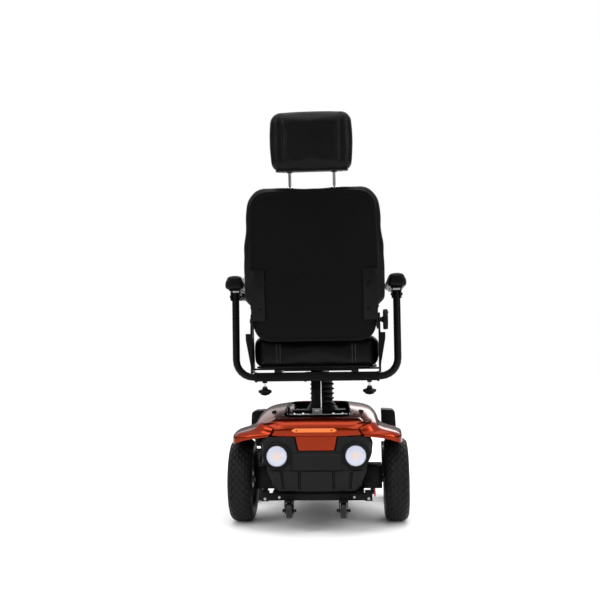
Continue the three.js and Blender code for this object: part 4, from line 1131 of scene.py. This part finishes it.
# The rear panel with its welt and stitches.
def back_panel():
    corners = [(-0.200, -0.061, 0.060), (0.200, -0.061, 0.060), (0.204, 0.036, 0.02),
               (0.212, 0.052, 0.02), (0.212, 0.190, 0.03), (0.206, 0.436, 0.066),
               (-0.206, 0.436, 0.066), (-0.212, 0.190, 0.03), (-0.212, 0.052, 0.02),
               (-0.204, 0.036, 0.02)]
    outline = round_outline(corners, 8)
    centre = Vector((0, 0.18))
    verts, faces = [], []
    rings = 14
    for k in range(rings):
        t = 1 - k / rings
        for p in outline:
            q = centre + (p - centre) * t
            verts.append((q.x, -0.0535 - 0.0062 * (1 - t ** 6) - 0.001 *
                          noise.noise(Vector((q.x * 9, q.y * 9, 3))) * (1 - t ** 4), q.y))
    verts.append((centre.x, -0.0597, centre.y))
    n = len(outline)
    for k in range(rings - 1):
        faces += [(k * n + i, k * n + (i + 1) % n, (k + 1) * n + (i + 1) % n, (k + 1) * n + i)
                  for i in range(n)]
    faces += [((rings - 1) * n + i, (rings - 1) * n + (i + 1) % n, len(verts) - 1)
              for i in range(n)]
    back = len(verts)
    verts += [(p.x, -0.0462, p.y) for p in outline]
    faces += [(i, (i + 1) % n, back + (i + 1) % n, back + i) for i in range(n)]
    faces.append(tuple(range(back, back + n)))
    obj = build("back_panel", verts, faces, "panel", "backrest", BACK, 50)
    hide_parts("back_shell")
    loop = outline + outline[:1]
    tube("back_welt", [(p.x * 1.004, -0.0495, p.y) for p in loop], 0.0036, "vinyl", "backrest",
         BACK, 8)
    inner = [centre + (p - centre) * 0.965 for p in loop]
    stitches("back_stitch", [(p.x, -0.0582, p.y) for p in inner], "backrest", BACK, "vinyl")

# Bolts, hinge pins and the guides for the headrest posts.
def back_hardware():
    for label, side in SIDES:
        for i, z in enumerate((0.045, 0.128)):
            bolt(f"arm_bolt_{label}_{i}", (side * 0.181, -0.0653, z), (0, -1, 0), 0.006,
                 "backrest", "steel", BACK)
        bolt(f"hinge_bolt_{label}", (side * 0.220, -0.395 + 0.012, 0.560), (side, 0, 0), 0.006,
             "seat")
        bolt(f"hinge_bolt_b_{label}", (side * 0.220, -0.330, 0.560), (side, 0, 0), 0.006, "seat")
        lathe(f"post_guide_{label}", [(0.0058, 0.0), (0.011, 0.0), (0.012, 0.001),
                                      (0.0118, 0.003), (0.008, 0.0042), (0.0058, 0.0045)],
              (side * POST_X, -0.020, 0.4475), (0, 0, 1), "chrome", "backrest", 32, BACK)

back_cushion()
back_panel()
back_hardware()

# %% Headrest
# The headrest pad with its side seams, welt and grommets.
def headrest():
    centre, half = Vector((0, -0.013, 0.598)), (0.131, 0.0435, 0.097)
    def place(u, v, w):
        bow = 1 + 0.02 * math.cos(w * math.pi / 2)
        p = round_box(u, v, w, (half[0] * bow, half[1], half[2]), (0.034, 0.028, 0.034))
        seam = math.exp(-((abs(p.x) - 0.098) / 0.004) ** 2) if v < -0.5 else 0
        p.y += 0.0045 * seam if p.y < -0.03 else 0
        return p + centre
    def pinned(p):
        q = p - centre
        if q.y < -0.03 and abs(abs(q.x) - 0.098) < 0.0042:
            return 1.0
        return 1.0 if q.z < -0.092 else 0.0
    cushion("headrest", (0.262, 0.087, 0.192), 0.0058, place, pinned, "headrest_cushion",
            "headrest", 4.0, 0.0045, BACK, 14)
    outline = round_outline([(-0.126, -0.050, 0.02), (0.126, -0.050, 0.02),
                             (0.126, 0.024, 0.02), (-0.126, 0.024, 0.02)], 6)
    tube("headrest_welt", [(p.x * 0.94, p.y * 0.86, 0.5055) for p in outline + outline[:1]],
         0.0028, "vinyl", "headrest", BACK, 8)
    for label, side in SIDES:
        stitches(f"headrest_stitch_{label}", [(side * 0.0935, -0.0565, 0.528),
                                              (side * 0.0935, -0.0565, 0.661)],
                 "headrest", BACK, "vinyl")
        lathe(f"post_grommet_{label}", [(0.0055, 0), (0.0095, 0), (0.0098, -0.003),
                                        (0.0055, -0.003)], (side * POST_X, -0.020, 0.5015),
              (0, 0, 1), "plastic", "headrest", 24, BACK)

headrest()

# %% Arm pads
ARM_X = 0.280

# A pad that narrows upward, with two bolts below.
def arm_pad(label, side):
    centre = Vector((side * ARM_X, -0.213, 0.8335))
    def place(u, v, w):
        wide = 0.0335 if w < 0.05 else 0.0335 - 0.0055 * smoothstep(0.05, 0.5, w)
        p = round_box(u, v, w, (wide, 0.135, 0.0235), (0.013, 0.020, 0.012))
        if -0.05 < w < 0.12:
            p.x *= 0.965
        return p + centre
    cushion(f"pad_{label}", (0.067, 0.27, 0.047), 0.0045, place,
            lambda p: 1.0 if p.z < 0.836 else 0.0, f"armrest_pad_{label}",
            f"arm_pad_{label}", 2.0, 0.002)
    for i, y in enumerate((-0.326, -0.304)):
        bolt(f"pad_bolt_{label}_{i}", (side * ARM_X + (0.0168 if i else -0.0168), -0.296,
                                       0.797), (1 if i else -1, 0, 0), 0.0045,
             f"arm_pad_{label}")

for label, side in SIDES:
    arm_pad(label, side)
print("cushions done")

# %% [markdown]
# ## Small hardware
# Knobs, frame bolts, footplate ribs and the joystick's gaiter, dial mark and battery gauge.

# %% Knobs and bolts
# Six lobes and a collar on a clamp knob.
def knob_lobes(label, side):
    centre = (side * 0.181, -0.310, 0.4895)
    for i in range(6):
        a = 2 * math.pi * i / 6
        lathe(f"knob_lobe_{label}_{i}",
              [(0, 0), (0.0035, -0.001), (0.004, -0.005), (0.0025, -0.010), (0, -0.011)],
              (centre[0] + 0.0195 * math.cos(a), centre[1] + 0.0195 * math.sin(a),
               centre[2] - 0.0295), (0, 0, 1), "plastic", f"clamp_{label}", 12)
    lathe(f"knob_stem_{label}", [(0.0042, -0.0005), (0.0042, -0.0165), (0.0075, -0.0172),
                                 (0.0075, -0.0185)], centre, (0, 0, 1), "chrome",
          f"clamp_{label}", 20)

# The hand wheel with a scalloped rim.
def recline_wheel():
    centre = (0.238, -0.365, 0.698)
    profile = [(0, 0.009), (0.013, 0.0088), (0.016, 0.006), (0.026, 0.005), (0.030, 0.0083),
               (0.0335, 0.0078), (0.0352, 0.004), (0.0352, -0.004), (0.0335, -0.0078),
               (0.010, -0.0078), (0.010, -0.0135), (0, -0.0135)]
    verts_obj = lathe("recline_hand_wheel", profile, centre, (1, 0, 0), "plastic",
                      "recline_wheel", 72)
    for vert in verts_obj.data.vertices:
        q = vert.co - Vector(centre)
        r = math.hypot(q.y, q.z)
        if r > 0.03:
            a = math.atan2(q.z, q.y)
            k = 1 - 0.035 * (0.5 + 0.5 * math.cos(a * 12))
            vert.co.y, vert.co.z = centre[1] + q.y * k, centre[2] + q.z * k
    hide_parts("recline_knob")
    block("recline_grip", (0.2455, -0.378, 0.720), (0.2495, -0.352, 0.724), "rubber",
          "recline_wheel", 0.001)

# Bolts and nuts along the frame, and the footplate ribs.
def frame_bolts():
    for label, side in SIDES:
        for i, (x, z) in enumerate(((0.170, 0.112), (0.123, 0.116))):
            bolt(f"bar_bolt_{label}_{i}", (side * x, -0.457 if i == 0 else -0.452, z), (0, -1, 0),
                 0.0048, "base", "zinc")
        bolt(f"bar_under_{label}", (side * 0.168, -0.440, 0.1045), (0, 0, -1), 0.005, "base",
             "zinc")
        for i, s in enumerate((-1, 1)):
            bolt(f"anti_tip_nut_{label}_{i}", (side * 0.088 + s * 0.0185, -0.485, 0.079),
                 (s, 0, 0), 0.0058, "base", "steel")
        x = side * 0.262
        for i, s in enumerate((-1, 1)):
            bolt(f"caster_nut_{label}_{i}", (x + s * 0.036, 0.177, 0.100), (s, 0, 0), 0.008,
                 f"caster_{label}", "zinc")
        z = 0.505
        lathe(f"receiver_cap_{label}", [(0.0133, 0.0), (0.0165, 0.0), (0.0172, -0.004),
                                        (0.0133, -0.004)], (side * 0.2165, -0.310, z),
              (side, 0, 0), "plastic", "seat", 24)
    bolt("receiver_stud", (-0.040, -0.310, 0.4905), (0, 0, -1), 0.0045, "seat", "steel")
    for i in range(7):
        y = 0.372 + i * 0.020
        block(f"foot_rib_{i}", (-0.105 + 0.002 * i, y, 0.1010), (0.105 - 0.002 * i, y + 0.008,
              0.1028), "rubber", "footrest", 0.0006)

# Gaiter, ring, dial mark, battery gauge and screws.
def joystick_trim():
    x, y, z = -ARM_X, 0.002, 0.834
    profile = [(0.0235, 0.0), (0.0235, 0.002)]
    for i in range(5):
        r = 0.0215 - i * 0.0038
        profile += [(r, 0.004 + i * 0.0042), (r - 0.0030, 0.0052 + i * 0.0042)]
    profile += [(0.0036, 0.0262), (0.0036, 0.030)]
    lathe("joystick_gaiter", profile, (x, y, z - 0.0005), (0, 0, 1), "rubber",
          "arm_pad_left", 40, None, 60)
    lathe("joystick_ring", [(0.0232, 0), (0.0262, 0), (0.0258, 0.0022), (0.0236, 0.0026)],
          (x, y, z - 0.0002), (0, 0, 1), "plastic", "arm_pad_left", 40)
    block("dial_mark", (x - 0.0068, -0.0425, 0.8412), (x - 0.0052, -0.0362, 0.8416), "white",
          "dial", 0.0001)
    for i in range(5):
        name = ("red", "amber", "amber", "green", "green")[i]
        block(f"gauge_{i}", (x - 0.028 + 0.0052, -0.030 + i * 0.0042, 0.8338),
              (x - 0.028 + 0.0092, -0.0272 + i * 0.0042, 0.8345), name, "arm_pad_left", 0.0002)
    for i, (dx, dy) in enumerate(((0.0245, -0.044), (0.0245, 0.022), (-0.0245, 0.022))):
        bolt(f"pod_screw_{i}", (x + dx, dy, 0.8337), (0, 0, 1), 0.0024, "arm_pad_left", "zinc")

for label, side in SIDES:
    knob_lobes(label, side)
recline_wheel()
frame_bolts()
joystick_trim()
